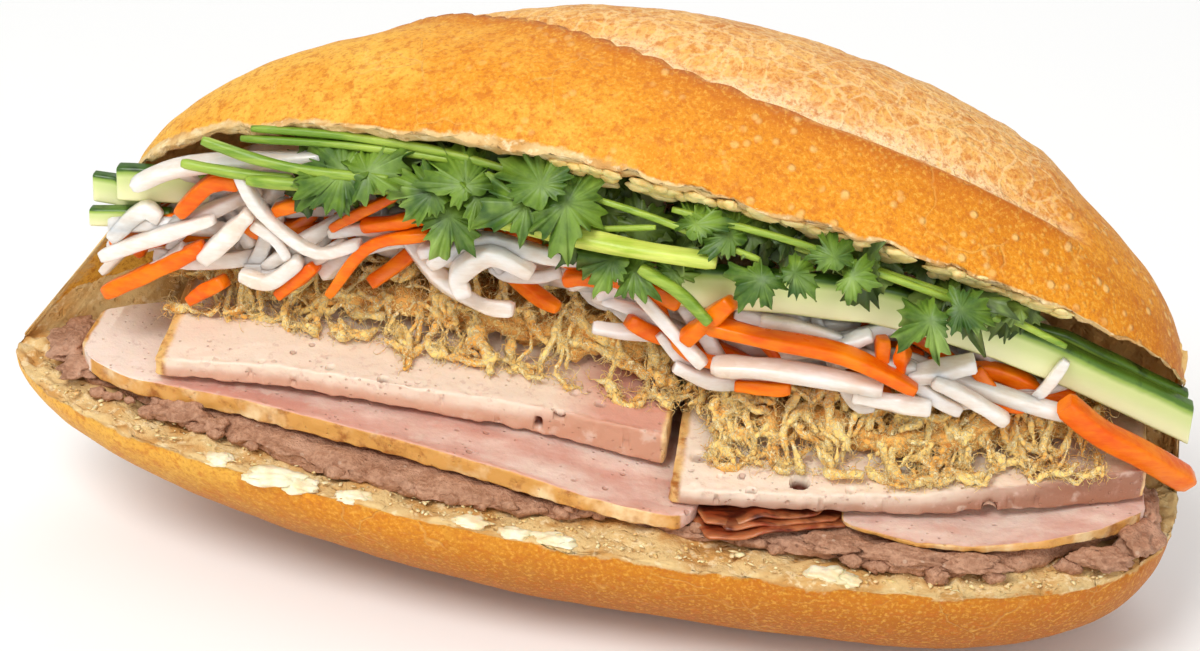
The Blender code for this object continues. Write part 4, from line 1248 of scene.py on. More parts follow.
def root_finish(name, deep, light, shine):
    """A wet pickled root: even colour, fine lengthwise fibre, and glassy light through it."""
    f = Finish(name)
    cloud = f.noise(120.0, 3.0)
    fibre = f.noise(1.0, 4.0, 0.6, f.stretched((220.0, 900.0, 900.0)))
    colour = f.blend(deep, light, f.between(0.35, 0.65, 0.6 * cloud + 0.4 * fibre))
    return f.finish(Base_Color=colour, Roughness=0.20 + 0.22 * cloud, Normal=f.bump(fibre, 0.35, 0.0003),
                    Specular_IOR_Level=0.2 + 0.4 * shine, Coat_Weight=0.6 * shine, Coat_Roughness=0.10,
                    Subsurface_Weight=shine, Subsurface_Scale=0.006, Subsurface_Radius=(1.0, 0.8, 0.65))


# ---- cucumber
CUCUMBERS = {
    "cucumber_right_front": dict(
        top_edge=[(0.0157, -0.0195, 0.0712), (0.035, -0.0205, 0.0722), (0.0496, -0.0205, 0.0722),
                  (0.0607, -0.0200, 0.0702), (0.072, -0.0190, 0.0671), (0.085, -0.0168, 0.0618),
                  (0.096, -0.0142, 0.0563), (0.1088, -0.0100, 0.0492)],
        height=0.0078, thick=0.0034),
    "cucumber_right_back": dict(
        top_edge=[(0.040, -0.0150, 0.0740), (0.060, -0.0150, 0.0700), (0.072, -0.0145, 0.0658),
                  (0.085, -0.0128, 0.0625), (0.096, -0.0104, 0.0568), (0.1080, -0.0062, 0.0500)],
        height=0.0080, thick=0.0024),
    "cucumber_left_front": dict(
        top_edge=[(-0.0889, -0.0036, 0.0722), (-0.080, -0.0036, 0.0728), (-0.0715, -0.0036, 0.0731)],
        height=0.0068, thick=0.0028),
    "cucumber_left_back": dict(
        top_edge=[(-0.0944, -0.0004, 0.0690), (-0.0900, -0.0004, 0.0686), (-0.0870, -0.0005, 0.0663),
                  (-0.082, -0.0006, 0.0656)],
        height=0.0056, thick=0.0024),
    "cucumber_left_low": dict(
        top_edge=[(-0.0944, -0.0034, 0.0632), (-0.086, -0.0034, 0.0640), (-0.079, -0.0036, 0.0646)],
        height=0.0036, thick=0.0028),
    "cucumber_middle": dict(
        top_edge=[(-0.045, -0.0040, 0.0835), (-0.010, -0.0085, 0.0835), (0.012, -0.0105, 0.0820)],
        height=0.0080, thick=0.0034),
}
CUCUMBER_GRAIN = 0.0014


def make_cucumber(name, finish, top_edge, height, thick):
    """A lengthwise slice standing on edge, with its skin along the upper edge."""
    length = top_edge[-1][0] - top_edge[0][0]
    bm = block((0.5, 0.5, -0.5), (length, thick, height))
    round_off(bm, [edge for edge in bm.edges if edge_span(edge, 0) > length / 2], thick * 0.26, 4)
    ends = [edge for edge in bm.edges if edge.is_manifold and edge.calc_face_angle(0.0) > 1.2]
    round_off(bm, ends, 0.0003, 2)
    cut_rows(bm, [-height * level / 8 for level in range(1, 8)], 2)
    cuts = max(8, round(length / CUCUMBER_GRAIN))
    cut_rows(bm, [length * step / cuts for step in range(1, cuts)], 0)
    skin = bm.verts.layers.float.new("skin")
    for vert in bm.verts:
        step, across, down = vert.co
        x = top_edge[0][0] + step
        y = along([(p[0], p[1]) for p in top_edge], x)
        z = along([(p[0], p[2]) for p in top_edge], x)
        vert[skin] = clamp(1.0 + down / height, 0.0, 1.0)
        place = Vector((x, y + across, z + down))
        ripple = 0.00018 * rough(place, 120.0, 4.0)
        vert.co = place + Vector((0.0, ripple, ripple))
    face_outwards(bm)
    return add_piece(name + "_slice", bm, [finish], [name], 60.0)


def cucumber_finish():
    """Pale wet flesh that turns green below a dark mottled skin."""
    f = Finish("cucumber_flesh_and_skin")
    skin = f.attribute("skin")
    cloud = f.noise(90.0, 4.0)
    fibre = f.noise(1.0, 4.0, 0.6, f.stretched((120.0, 700.0, 700.0)))
    level = skin + 0.10 * (cloud - 0.5) + 0.06 * (fibre - 0.5)
    flesh = f.blend(rgb(232, 230, 176), rgb(206, 216, 142), f.between(0.15, 0.7, level))
    flesh = f.blend(flesh, rgb(150, 178, 72), f.between(0.70, 0.86, level))
    peel = f.blend(rgb(58, 92, 22), rgb(96, 132, 40), f.between(0.4, 0.7, f.noise(60.0, 4.0)))
    peel = f.blend(peel, rgb(34, 60, 14), f.between(0.5, 0.7, f.noise(240.0, 4.0)))
    flesh = f.blend(flesh, rgb(160, 176, 60), 0.7 * f.between(0.08, 0.02, skin))
    colour = f.blend(flesh, peel, f.between(0.84, 0.93, level))
    return f.finish(Base_Color=colour, Roughness=0.25 + 0.2 * cloud, Normal=f.bump(fibre, 0.3, 0.0003),
                    Subsurface_Weight=0.2, Subsurface_Scale=0.003, Subsurface_Radius=(0.8, 1.0, 0.4))


# ---- floss
# Ropes of floss that show plainly: how thick, then (x, y) along them on the heap's skin, in mm.
FLOSS_ROPES = {
    "left": [
        (1.0, [(-77, 2), (-70, 1), (-66, -2), (-64, -4), (-59, -6), (-55, -4)]),
        (1.3, [(-54, -5), (-47, -3), (-44, -5), (-38, -5)]),
        (0.8, [(-38, -3), (-37, -6), (-33, -10), (-33, -15)]),
        (0.5, [(-27, -2), (-25, -6), (-22, -7)]),
        (0.5, [(-17, -2), (-17, -4), (-16, -6)]),
        (1.6, [(-22, -5), (-20, -7), (-17, -13)]),
        (1.3, [(-15, -7), (-13, -10), (-10, -11)]),
        (1.4, [(-8, -4), (1, -7), (9, -9)]),
        (1.1, [(-6, -7), (-1, -8), (8, -9)]),
        (1.3, [(11, -7), (14, -10), (17, -12)]),
        (0.9, [(18, -7), (22, -11), (22, -16)]),
        (0.9, [(-35, -6), (-32, -11), (-32, -15)]),
        (0.9, [(-65, 0), (-62, -2), (-58, -3)]),
        (1.2, [(-49, -6), (-44, -9), (-40, -7)]),
        (1.0, [(-32, -3), (-28, -5), (-30, -7)]),
        (1.4, [(2, -8), (10, -10), (15, -11)]),
        (1.0, [(-13, -4), (-11, -6), (-7, -8)]),
    ],
    "right": [
        (1.0, [(25, -18), (27, -16), (31, -17)]),
        (0.9, [(39, -17), (38, -20), (35, -21)]),
        (1.0, [(49, -16), (53, -20), (56, -23), (61, -25), (65, -21), (66, -20)]),
        (1.1, [(57, -20), (62, -18), (66, -17)]),
        (1.0, [(69, -18), (74, -19), (75, -21)]),
        (0.9, [(78, -12), (81, -14), (84, -17), (85, -18), (86, -22)]),
        (1.0, [(75, -13), (77, -18), (80, -19)]),
        (0.8, [(86, -11), (87, -15), (86, -18)]),
        (0.9, [(32, -20), (36, -19), (40, -19)]),
        (1.1, [(42, -18), (46, -19), (49, -21)]),
        (0.9, [(28, -19), (31, -20), (36, -20)]),
        (0.7, [(58, -22), (60, -22), (63, -20)]),
    ],
}
ROPE_STEP = 0.0006
LOOSE_HAIRS = 500


def any_way(rng):
    """A random direction, not yet one unit long."""
    return Vector((rng.gauss(0, 1), rng.gauss(0, 1), rng.gauss(0, 1)))


def floss_skin(x, y, front):
    """The heap's skin climbs from the tops of the slices in front to the heap's own top."""
    climb = clamp((y - along(front, x) + 0.001) / 0.010, 0.0, 1.0)
    return mix(slices_top(x, y) + 0.0008, floss_over(x, y), math.sin(climb * math.pi / 2))


def wander(rng, start, ahead, steps, step, turn, radius):
    """A curling hair that thins towards its end."""
    axis = any_way(rng).normalized()
    point, knots = start.copy(), []
    for number in range(steps + 1):
        knots.append((point.copy(), radius * (1.0 - 0.6 * number / steps)))
        axis = (axis + 0.5 * any_way(rng)).normalized()
        ahead = (Matrix.Rotation(rng.gauss(turn, turn * 0.6), 3, axis) @ ahead).normalized()
        point = point + ahead * step
    return knots


def rope_line(run, thick, seed):
    """Points and radii along one rope: crooked, and thicker and thinner by turns."""
    length = sum((run.at((k + 1) / 12) - run.at(k / 12)).length for k in range(12))
    count = max(6, round(length / ROPE_STEP))
    line = []
    for number in range(count + 1):
        t = number / count
        crook = noise.noise_vector(Vector((seed, number * 0.13, 0.0))) * 0.0016
        crook += noise.noise_vector(Vector((seed, number * 0.40, 7.0))) * 0.0006
        swell = 0.85 + 0.75 * noise.noise(Vector((seed + 5.0, number * 0.25, 3.0)))
        ends = math.sin(math.pi * clamp((number + 0.8) / (count + 1.6), 0.0, 1.0)) ** 0.35
        line.append((run.at(t) + crook, thick * swell * ends))
    return line


def floss_strands(name, side, front, seed, finish, spare, hairs_a_rope):
    """Matted ropes of fibre on the heap, and fine curly hairs that stand off them and off the heap."""
    rng = random.Random(seed)
    # noise_vector takes its offsets from the clock unless it is seeded.
    noise.seed_set(seed)
    left, right = front[0][0], front[-1][0]
    lines = []
    for number, (thick, knots) in enumerate(FLOSS_ROPES[side]):
        run = Run([(x, y, floss_skin(x, y, front)) for x, y in (metres(*knot) for knot in knots)])
        lines.append(rope_line(run, thick / 1000, seed + number * 2.7))
    for number in range(spare):
        x = rng.uniform(left, right)
        y = along(front, x) - 0.0030 + 0.0125 * rng.random() ** 1.2
        heading = rng.uniform(-math.pi, math.pi)
        knots = []
        for _knot in range(rng.randint(3, 5)):
            knots.append((x, y, floss_skin(x, y, front) + rng.uniform(-0.0004, 0.0010)))
            heading += rng.gauss(0.0, 0.9)
            x = clamp(x + 0.0032 * math.cos(heading), left, right)
            y = clamp(y + 0.0032 * math.sin(heading), along(front, x) - 0.0045, along(front, x) + 0.012)
        lines.append(rope_line(Run(knots), rng.uniform(0.00042, 0.00100), seed + 60.0 + number * 1.9))
    hairs = []
    for line in lines:
        for _hair in range(round(hairs_a_rope * len(line) / 20)):
            point, radius = rng.choice(line)
            out = Vector((rng.gauss(0, 1), rng.gauss(-0.3, 1), rng.gauss(0.2, 1))).normalized()
            hairs.append(wander(rng, point + out * radius * 0.8, out, rng.randint(4, 7), 0.00048, 0.65,
                                rng.uniform(0.00007, 0.00012)))
    for _hair in range(LOOSE_HAIRS):
        x = rng.uniform(left - 0.002, right + 0.002)
        y = along(front, x) + rng.uniform(-0.0045, 0.0100)
        out = Vector((rng.gauss(0, 1), rng.gauss(-0.4, 0.8), rng.gauss(0.5, 0.8))).normalized()
        root = Vector((x, y, floss_skin(x, y, front) - 0.0004))
        hairs.append(wander(rng, root, out, rng.randint(5, 8), 0.0006, 0.6, rng.uniform(0.00006, 0.00011)))
    total = tubes(lines, 8)
    roughen(total, ((0.00038, 480.0, 4.0), (0.00030, 1200.0, 6.0)))
    gather(total, tubes(hairs, 3))
    return add_piece(name, total, [finish])


def floss_core(side, front, finish):
    """The matted inside of a heap, rough all over."""
    def back(x):
        return min(along(front, x) + FLOSS_DEPTH, slit_back(x) - 0.005)

    def over(x, y):
        return max(floss_over(x, y) - 0.0034, slices_top(x, y) + 0.001)

    core = make_heap((front[0][0] - 0.003, front[-1][0] + 0.001), lambda x: along(front, x) + 0.0016, back,
                     lambda x, y: slices_top(x, y) + GAP, over, 0.0024, 5.0, (90, 170))
    roughen(core, ((0.0014, 230.0, 1.0), (0.0008, 600.0, 2.0)))
    return add_piece("floss_core_" + side, core, [finish], ["floss_" + side])


def floss_finish(name, pocket, deep, light):
    """Matted fibre: pockets in painted shade, a golden middle, and pale curling lines over both."""
    f = Finish(name)
    tone = f.noise(210.0, 4.0, 0.65)
    aside = f.stretched((1.0, 1.0, 1.0), (0.7, 1.1, 0.3))
    behind = f.stretched((1.0, 1.0, 1.0), (1.9, 0.4, 1.3))
    fibre = f.lines(380.0, 0.022) + f.lines(620.0, 0.030, aside) + 0.7 * f.lines(900.0, 0.040, behind)
    fibre = f.between(0.0, 1.0, fibre)
    # Painted shade in the pockets between the fibres.
    colour = f.blend(pocket, deep, f.between(0.36, 0.54, tone))
    colour = f.blend(colour, light, 0.85 * fibre)
    relief = 0.7 * fibre + 0.6 * tone
    return f.finish(Base_Color=colour, Roughness=0.8, Normal=f.bump(relief, 0.8, 0.0006),
                    Subsurface_Weight=0.10, Subsurface_Scale=0.002, Subsurface_Radius=(1.0, 0.7, 0.4))


# ---- herbs
# Lobes of a leaf: heading in degrees from the tip, length, and half its width in degrees.
LOBES = [(0.0, 1.0, 33.0), (60.0, 0.86, 31.0), (-57.0, 0.90, 30.0), (113.0, 0.62, 28.0), (-112.0, 0.66, 30.0)]
LEAF_WAIST = 0.36


def off_by(turn, middle):
    """Degrees from a lobe's middle to an angle, between -180 and 180."""
    return (math.degrees(turn) - middle + 180.0) % 360.0 - 180.0


def leaf_reach(turn):
    """How far a cilantro leaf reaches at an angle from its tip: notched lobes with blunt teeth."""
    reach = LEAF_WAIST
    for middle, length, width in LOBES:
        off = off_by(turn, middle)
        if abs(off) < width:
            t = off / width
            teeth = 1.0 - 0.24 * abs(math.sin(t * math.pi * 1.5))
            reach = max(reach, length * (1.0 - 0.42 * abs(t) ** 3) * teeth)
    return reach


def flat_leaf(segments, rings):
    """One flat leaf, one unit from stem to tip, in rings that can be bent."""
    bm = bmesh.new()
    bmesh.ops.create_circle(bm, cap_ends=True, segments=segments, radius=1.0)
    for _ring in range(rings):
        inner = [face for face in bm.faces if len(face.verts) > 4]
        bmesh.ops.inset_region(bm, faces=inner, thickness=0.8 / rings, use_even_offset=False)
    bmesh.ops.poke(bm, faces=[face for face in bm.faces if len(face.verts) > 4])
    vein = bm.verts.layers.float.new("vein")
    for vert in bm.verts:
        turn = math.atan2(vert.co.y, vert.co.x)
        ring = vert.co.xy.length
        reach = mix(LEAF_WAIST, leaf_reach(turn), clamp(ring, 0.0, 1.0) ** 1.4)
        near = min(abs(off_by(turn, lobe[0])) for lobe in LOBES)
        vert[vein] = math.exp(-(near * ring / 2.2) ** 2) if ring > 0.02 else 1.0
        vert.co = vert.co * reach
    return bm


def place_leaf(template, spot, tip, facing, size, curl, seed):
    """Bend a copy of the flat leaf, thicken it and lay it at its spot."""
    bm = template.copy()
    ahead, normal = Vector(tip), Vector(facing).normalized()
    ahead = (ahead - normal * ahead.dot(normal)).normalized()
    side = normal.cross(ahead)
    for vert in bm.verts:
        away = max(vert.co.length, 0.01)
        around = Vector((vert.co.x / away * 1.4, vert.co.y / away * 1.4, seed * 1.3))
        uneven = 1.0 + 0.5 * noise.noise(around)
        u, v = vert.co.x * uneven, vert.co.y * uneven
        ring = u * u + v * v
        fold = 0.05 * math.exp(-(v / 0.10) ** 2)
        lift = -curl * ring * 0.35 - fold + 0.11 * noise.noise(Vector((u * 5, v * 5, seed + 9.0)))
        lift += 0.42 * noise.noise(Vector((u * 2.2, v * 2.2, seed))) * (0.3 + ring)
        vert.co = Vector(spot) + (ahead * u + side * v + normal * lift) * size
    bmesh.ops.recalc_face_normals(bm, faces=bm.faces)
    bmesh.ops.solidify(bm, geom=bm.faces[:], thickness=0.00022)
    return bm


# Leaves that show plainly: how far out of the heap, x and z, in mm; the tip's direction in the open face, in
# degrees; size in mm; and how much they curl.
LEAVES = [
    (6.0, -44.5, 81.2, 200, 10.5, 0.5), (6.5, -40.0, 82.0, 40, 8.5, 0.4), (6.8, -46.5, 79.0, 250, 7.0, 0.5),
    (7.0, -21.8, 82.7, 120, 9.0, 0.4), (7.5, -19.5, 81.0, 20, 8.0, 0.5), (7.0, -24.5, 76.3, 250, 7.5, 0.5),
    (7.2, -27.5, 80.5, 170, 7.0, 0.5),
    (9.0, -8.5, 86.0, 100, 10.0, 0.4), (9.5, -3.5, 83.5, -30, 9.5, 0.5), (9.0, -10.5, 82.0, 215, 8.0, 0.4),
    (6.0, 4.6, 72.6, 190, 7.0, 0.5), (5.5, 8.5, 71.0, 300, 6.0, 0.5), (5.0, 15.3, 71.6, 60, 5.6, 0.5),
    (8.0, 43.0, 80.4, 100, 5.4, 0.3), (8.5, 46.0, 77.5, -20, 4.8, 0.4),
    (9.0, 31.0, 75.4, 250, 6.0, 0.6), (9.0, 36.5, 77.2, 330, 5.2, 0.5),
    (9.5, 60.0, 71.4, 235, 6.6, 0.7), (9.0, 65.0, 73.6, 10, 6.2, 0.5), (6.0, 18.7, 82.2, 80, 6.2, 0.5),
    (5.0, 25.0, 80.6, 150, 6.4, 0.5),
]


def make_leaves(name, placed, count, seed, finish, replaced=()):
    """The leaves that show plainly, or a number of plainer ones laid at random among the herbs."""
    rng = random.Random(seed)
    template = flat_leaf(120, 4) if placed else flat_leaf(60, 2)
    total = bmesh.new()
    for number, (out, x, z, turn, size, curl) in enumerate(placed):
        turn = math.radians(turn)
        out, x, z, size = metres(out, x, z, 1.1 * size)
        spot = (x, along(FACE, x) - out, z)
        facing = (rng.uniform(-0.35, 0.35), -0.75 + rng.uniform(-0.15, 0.15), 0.65)
        gather(total, place_leaf(template, spot, (math.cos(turn), 0.0, math.sin(turn)), facing, size, curl,
                                 seed + number * 2.3))
    for number in range(count):
        x = rng.uniform(-0.058, 0.082)
        y = along(FACE, x) - rng.uniform(-0.006, 0.003)
        high = ceiling(x, y) - 0.003
        z = min(high, mix(along(CILANTRO_LOW, x), along(CILANTRO_TOP, x), rng.uniform(-0.1, 1.1)) + 0.001)
        turn = rng.uniform(-math.pi, math.pi)
        facing = (rng.uniform(-0.7, 0.7), -rng.uniform(0.3, 1.0), rng.uniform(-0.2, 1.0))
        gather(total, place_leaf(template, (x, y, z), (math.cos(turn), 0.0, math.sin(turn) * 0.5), facing,
                                 rng.uniform(0.0050, 0.0088), rng.uniform(0.2, 0.9), seed * 3 + number * 1.9))
    template.free()
    return add_piece(name, total, [finish], replaced)


# Where the herbs lie, as (x, z), and the thick stalk, as (x, y, z).
CILANTRO_TOP = [(-0.062, 0.0785), (-0.030, 0.0815), (0.0, 0.0830), (0.030, 0.0800), (0.060, 0.0745),
                (0.078, 0.0690)]
CILANTRO_LOW = [(-0.062, 0.0735), (-0.030, 0.0740), (0.0, 0.0735), (0.014, 0.0735), (0.030, 0.0755),
                (0.055, 0.0745), (0.078, 0.0670)]
GREEN_STALK = [(-0.0190, -0.0185, 0.0770), (-0.006, -0.0215, 0.0768), (0.008, -0.0245, 0.0765),
               (0.0230, -0.0255, 0.0760)]
GREEN_STALK_WIDTH = 0.0032
GREEN_STALK_THICK = 0.0026

# Stems: how far out of the heap, thickness in mm, then (x, z) along them, in mm.
STEMS = [
    (6.0, 2.0, [(-70.4, 83.0), (-59.8, 80.6), (-48.6, 80.1), (-36.0, 81.0)]),
    (5.0, 1.8, [(-74.6, 77.6), (-64.4, 77.0), (-54.0, 77.5)]),
    (6.0, 2.2, [(-62.2, 76.4), (-46.7, 77.7), (-28.4, 80.4)]),
    (3.0, 1.6, [(-62.0, 85.2), (-46.0, 86.4), (-28.6, 86.4), (-12.4, 84.5)]),
    (3.0, 1.4, [(-64.0, 83.0), (-43.1, 84.8), (-20.6, 85.0)]),
    (5.0, 1.2, [(-5.2, 83.8), (9.1, 81.7), (19.8, 79.4), (30.4, 76.9)]),
    (4.0, 1.3, [(14.5, 83.0), (35.2, 80.7), (49.1, 76.8), (64.8, 72.2), (72.0, 69.4)]),
    (7.0, 2.2, [(9.7, 72.3), (17.0, 68.9), (22.6, 64.2)]),
    (5.0, 1.0, [(-18.5, 84.5), (-14.5, 82.5), (-15.0, 78.5)]),
    (6.0, 1.1, [(-13.0, 83.0), (-9.0, 78.8), (0.0, 77.6), (12.0, 80.0)]),
    (2.0, 1.2, [(36.0, 78.6), (52.0, 75.6), (70.0, 70.4), (84.0, 64.0)]),
]


def make_stems(finish):
    """The stems that cross the open face."""
    template = bar(14, 0.40, 3)
    total = bmesh.new()
    for number, (out, thick, knots) in enumerate(STEMS):
        run, width = face_run(out, knots), thick / 1000
        gather(total, bend(template, run, width, width, 4.0 + number, 0.0, 0.2, 0.1))
    template.free()
    return add_piece("herb_stems", total, [finish])


def leaf_finish(name, deep, light):
    """A thin glossy leaf, mottled, with lighter veins."""
    f = Finish(name)
    vein = f.attribute("vein")
    cloud = f.noise(150.0, 4.0, 0.6)
    fine = f.noise(700.0, 4.0, 0.6)
    colour = f.blend(deep, light, f.between(0.3, 0.7, cloud))
    colour = f.blend(colour, rgb(150, 176, 84), 0.8 * f.between(0.54, 0.70, f.noise(110.0, 2.0)))
    colour = f.blend(colour, rgb(168, 196, 104), 0.14 * vein)
    relief = 0.7 * cloud + 0.3 * fine - 0.4 * vein
    return f.finish(Base_Color=colour, Roughness=0.34 + 0.25 * fine, Normal=f.bump(relief, 0.6, 0.0004),
                    Subsurface_Weight=0.08, Subsurface_Scale=0.001, Subsurface_Radius=(0.6, 1.0, 0.2))


def stem_finish(name, deep, light):
    """A juicy stem with lengthwise fibre."""
    f = Finish(name)
    fibre = f.noise(1.0, 4.0, 0.6, f.stretched((70.0, 900.0, 900.0)))
    cloud = f.noise(60.0, 3.0)
    colour = f.blend(deep, light, f.between(0.35, 0.65, 0.5 * fibre + 0.5 * cloud))
    return f.finish(Base_Color=colour, Roughness=0.30 + 0.2 * fibre, Normal=f.bump(fibre, 0.5, 0.0003),
                    Subsurface_Weight=0.2, Subsurface_Scale=0.002, Subsurface_Radius=(0.6, 1.0, 0.3))


# ---- butter, mayonnaise and crumbs
# Dabs: (x, y, z) and half sizes, in mm.
BUTTER = [(-63.4, -30.4, 29.8, 2.4, 1.2, 1.0), (-52.6, -33.4, 29.2, 5.0, 1.6, 1.4),
          (-47.6, -34.2, 28.6, 3.0, 1.4, 1.2), (-37.5, -36.0, 28.4, 3.0, 1.2, 1.0),
          (-16.2, -38.6, 27.4, 3.4, 1.2, 1.0), (-8.0, -39.6, 26.8, 3.0, 1.1, 0.9),
          (-1.1, -40.0, 26.6, 3.6, 1.2, 1.0), (47.6, -40.6, 25.8, 3.6, 1.6, 1.3),
          (50.8, -40.8, 25.6, 2.2, 1.3, 1.0)]
BUTTER_SINK = 0.0007
MAYONNAISE_DABS = 110


def dab(place, half, seed, detail=3, uneven=1.0):
    """One smooth uneven lump; half is half its size each way."""
    bm = bmesh.new()
    bmesh.ops.create_icosphere(bm, subdivisions=detail, radius=1.0)
    for vert in bm.verts:
        p = vert.co.copy()
        p *= 1.0 + uneven * (0.55 * rough(p, 1.5, seed) + 0.25 * rough(p, 3.6, seed + 3.0))
        vert.co = Vector(place) + Vector(p[i] * half[i] for i in range(3))
    return bm


def make_dabs(finish):
    """Dabs of butter along the lower rim, sunk a little into the crumb."""
    total = bmesh.new()
    for number, values in enumerate(BUTTER):
        x, y, z, long, deep, high = metres(*values)
        gather(total, dab((x, y, z - BUTTER_SINK), (long * 1.1, deep * 1.6, high), 2.0 + number, 4, 0.8))
    return add_piece("butter_dabs", total, [finish])


def make_mayonnaise(finish):
    """A thin smear along the underside of the upper rim: flat dabs that run into each other."""
    rng = random.Random(17)
    total = bmesh.new()
    for number in range(MAYONNAISE_DABS):
        s = rng.uniform(-0.16, 0.78)
        x = HALF_LENGTH * s
        y = -UPPER_HALF_WIDTH * outline(s, UPPER_OUTLINE) + 0.0016 + 0.0080 * rng.random()
        z = cut_height(x) + wall_height(x) + rng.uniform(0.0002, 0.0008)
        half = (rng.uniform(0.0014, 0.0036), rng.uniform(0.0010, 0.0020), rng.uniform(0.0006, 0.0009))
        part = dab((x, y, z), half, 30.0 + number, 3, 0.4)
        for vert in part.verts:
            vert.co = opened(vert.co)
        gather(total, part)
    return add_piece("mayonnaise", total, [finish])


def cream_finish(name, deep, light):
    """Soft and faintly cloudy: butter, mayonnaise or crumb."""
    f = Finish(name)
    cloud = f.noise(220.0, 4.0, 0.6)
    colour = f.blend(deep, light, f.between(0.35, 0.65, cloud))
    return f.finish(Base_Color=colour, Roughness=0.28 + 0.2 * cloud, Normal=f.bump(cloud, 0.5, 0.0005),
                    Subsurface_Weight=0.2, Subsurface_Scale=0.002)


def make_crumbs(finish, count):
    """Loose flakes of crumb along the torn rim of the lower half."""
    rng = random.Random(31)
    template = bmesh.new()
    bmesh.ops.create_icosphere(template, subdivisions=1, radius=1.0)
    total = bmesh.new()
    for number in range(count):
        x = rng.uniform(-0.104, 0.104)
        lip = LOWER_HALF_WIDTH * outline(share(x), LOWER_OUTLINE)
        y = -lip + 0.0016 + rng.random() ** 1.4 * 0.0060
        place = Vector((x, y, cut_height(x) + rng.uniform(-0.0006, 0.0001)))
        size = 0.00018 + 0.0005 * rng.random() ** 3
        turn = Matrix.Rotation(rng.uniform(0.0, math.pi), 3, "Z")
        stretch = Vector((rng.uniform(0.8, 1.9), rng.uniform(0.5, 1.0), rng.uniform(0.3, 0.7))) * size
        part = template.copy()
        for vert in part.verts:
            p = vert.co * (1.0 + 0.9 * rough(vert.co, 1.3, number * 1.1))
            vert.co = place + turn @ Vector((p.x * stretch.x, p.y * stretch.y, p.z * stretch.z))
        gather(total, part)
    template.free()
    return add_piece("loose_crumbs", total, [finish])


# ---- settings
FLOOR_HALF = 3.0
FLOOR_DROP = 0.0002
LAMP_TARGET = (0.0, 0.0, 0.04)

# The camera looks at its target, turned about Z, tilted down and rolled; the shift is a share of the width.
CAMERA_TARGET = (0.0, 0.0, 0.045)
CAMERA_DISTANCE = 0.5
CAMERA_TURN = math.radians(5.95)
CAMERA_TILT = math.radians(27.62)
CAMERA_ROLL = math.radians(3.145)
CAMERA_SENSOR = 36.0
CAMERA_LENS = 80.97
CAMERA_SHIFT = (0.0053333, 0.0126667)
CAMERA_NEAR = 0.01


class SandwichCrust(bpy.types.PropertyGroup):
    """Colours of the crust and its crumb"""
    golden: bpy.props.FloatVectorProperty(
        name="Crust colour", description="Golden colour of the baked crust", default=rgb(230, 146, 24)[:3],
        size=3, subtype="COLOR")
    toasted: bpy.props.FloatVectorProperty(
        name="Toasted colour", description="Colour of the crust where the oven browned it most",
        default=rgb(204, 116, 8)[:3], size=3, subtype="COLOR")
    crumb: bpy.props.FloatVectorProperty(
        name="Crumb colour", description="Colour of the torn crumb along the slit",
        default=rgb(230, 196, 136)[:3], size=3, subtype="COLOR")


class SandwichFilling(bpy.types.PropertyGroup):
    """How much of each filling there is"""
    stick_width: bpy.props.FloatProperty(
        name="Stick width", description="Width of a pickled daikon or carrot stick", default=0.0036,
        unit="LENGTH")
    daikon_sticks: bpy.props.IntProperty(
        name="Daikon sticks", description="Sticks of daikon laid through the heap besides the plain ones",
        default=90)
    carrot_sticks: bpy.props.IntProperty(
        name="Carrot sticks", description="Sticks of carrot laid through the heap besides the plain ones",
        default=34)
    floss_ropes: bpy.props.IntProperty(
        name="Floss ropes", description="Ropes of floss in each heap besides the plain ones", default=110)
    floss_hairs: bpy.props.IntProperty(
        name="Floss hairs", description="Hairs that stand off a rope of ordinary length", default=28)
    leaves_behind: bpy.props.IntProperty(
        name="Shaded leaves", description="Cilantro leaves behind the ones that show plainly", default=90)
    crumbs: bpy.props.IntProperty(
        name="Loose crumbs", description="Flakes of crumb along the lower rim", default=520)


class SandwichStage(bpy.types.PropertyGroup):
    """The floor and the lights"""
    floor_colour: bpy.props.FloatVectorProperty(
        name="Floor colour", description="Colour of the plain floor", default=(0.95, 0.95, 0.94), size=3,
        subtype="COLOR")
    daylight: bpy.props.FloatProperty(
        name="Daylight", description="Strength of the even light from all around", default=0.52)
    key_power: bpy.props.FloatProperty(
        name="Key light", description="Power of the large light above the open side", default=6.9,
        unit="POWER")
    fill_power: bpy.props.FloatProperty(
        name="Fill light", description="Power of the lights from the front and from behind", default=2.0,
        unit="POWER")


# ---- operators
class SANDWICH_OT_roll(bpy.types.Operator):
    """Bake the roll, slit it, tear its rims and open it"""
    bl_idname = "sandwich.roll"
    bl_label = "Roll"

    def execute(self, context):
        settings = context.scene.sandwich_crust
        colours = (settings.golden, settings.toasted, settings.crumb)
        finish = crust_finish(*((*colour, 1.0) for colour in colours))
        bm = closed_loaf([finish, finish])
        roll_surface(bm)
        for face in bm.faces:
            face.material_index = 0
        face_outwards(bm)
        add_piece("baked_roll", bm, [finish], ["roll"])
        return {"FINISHED"}


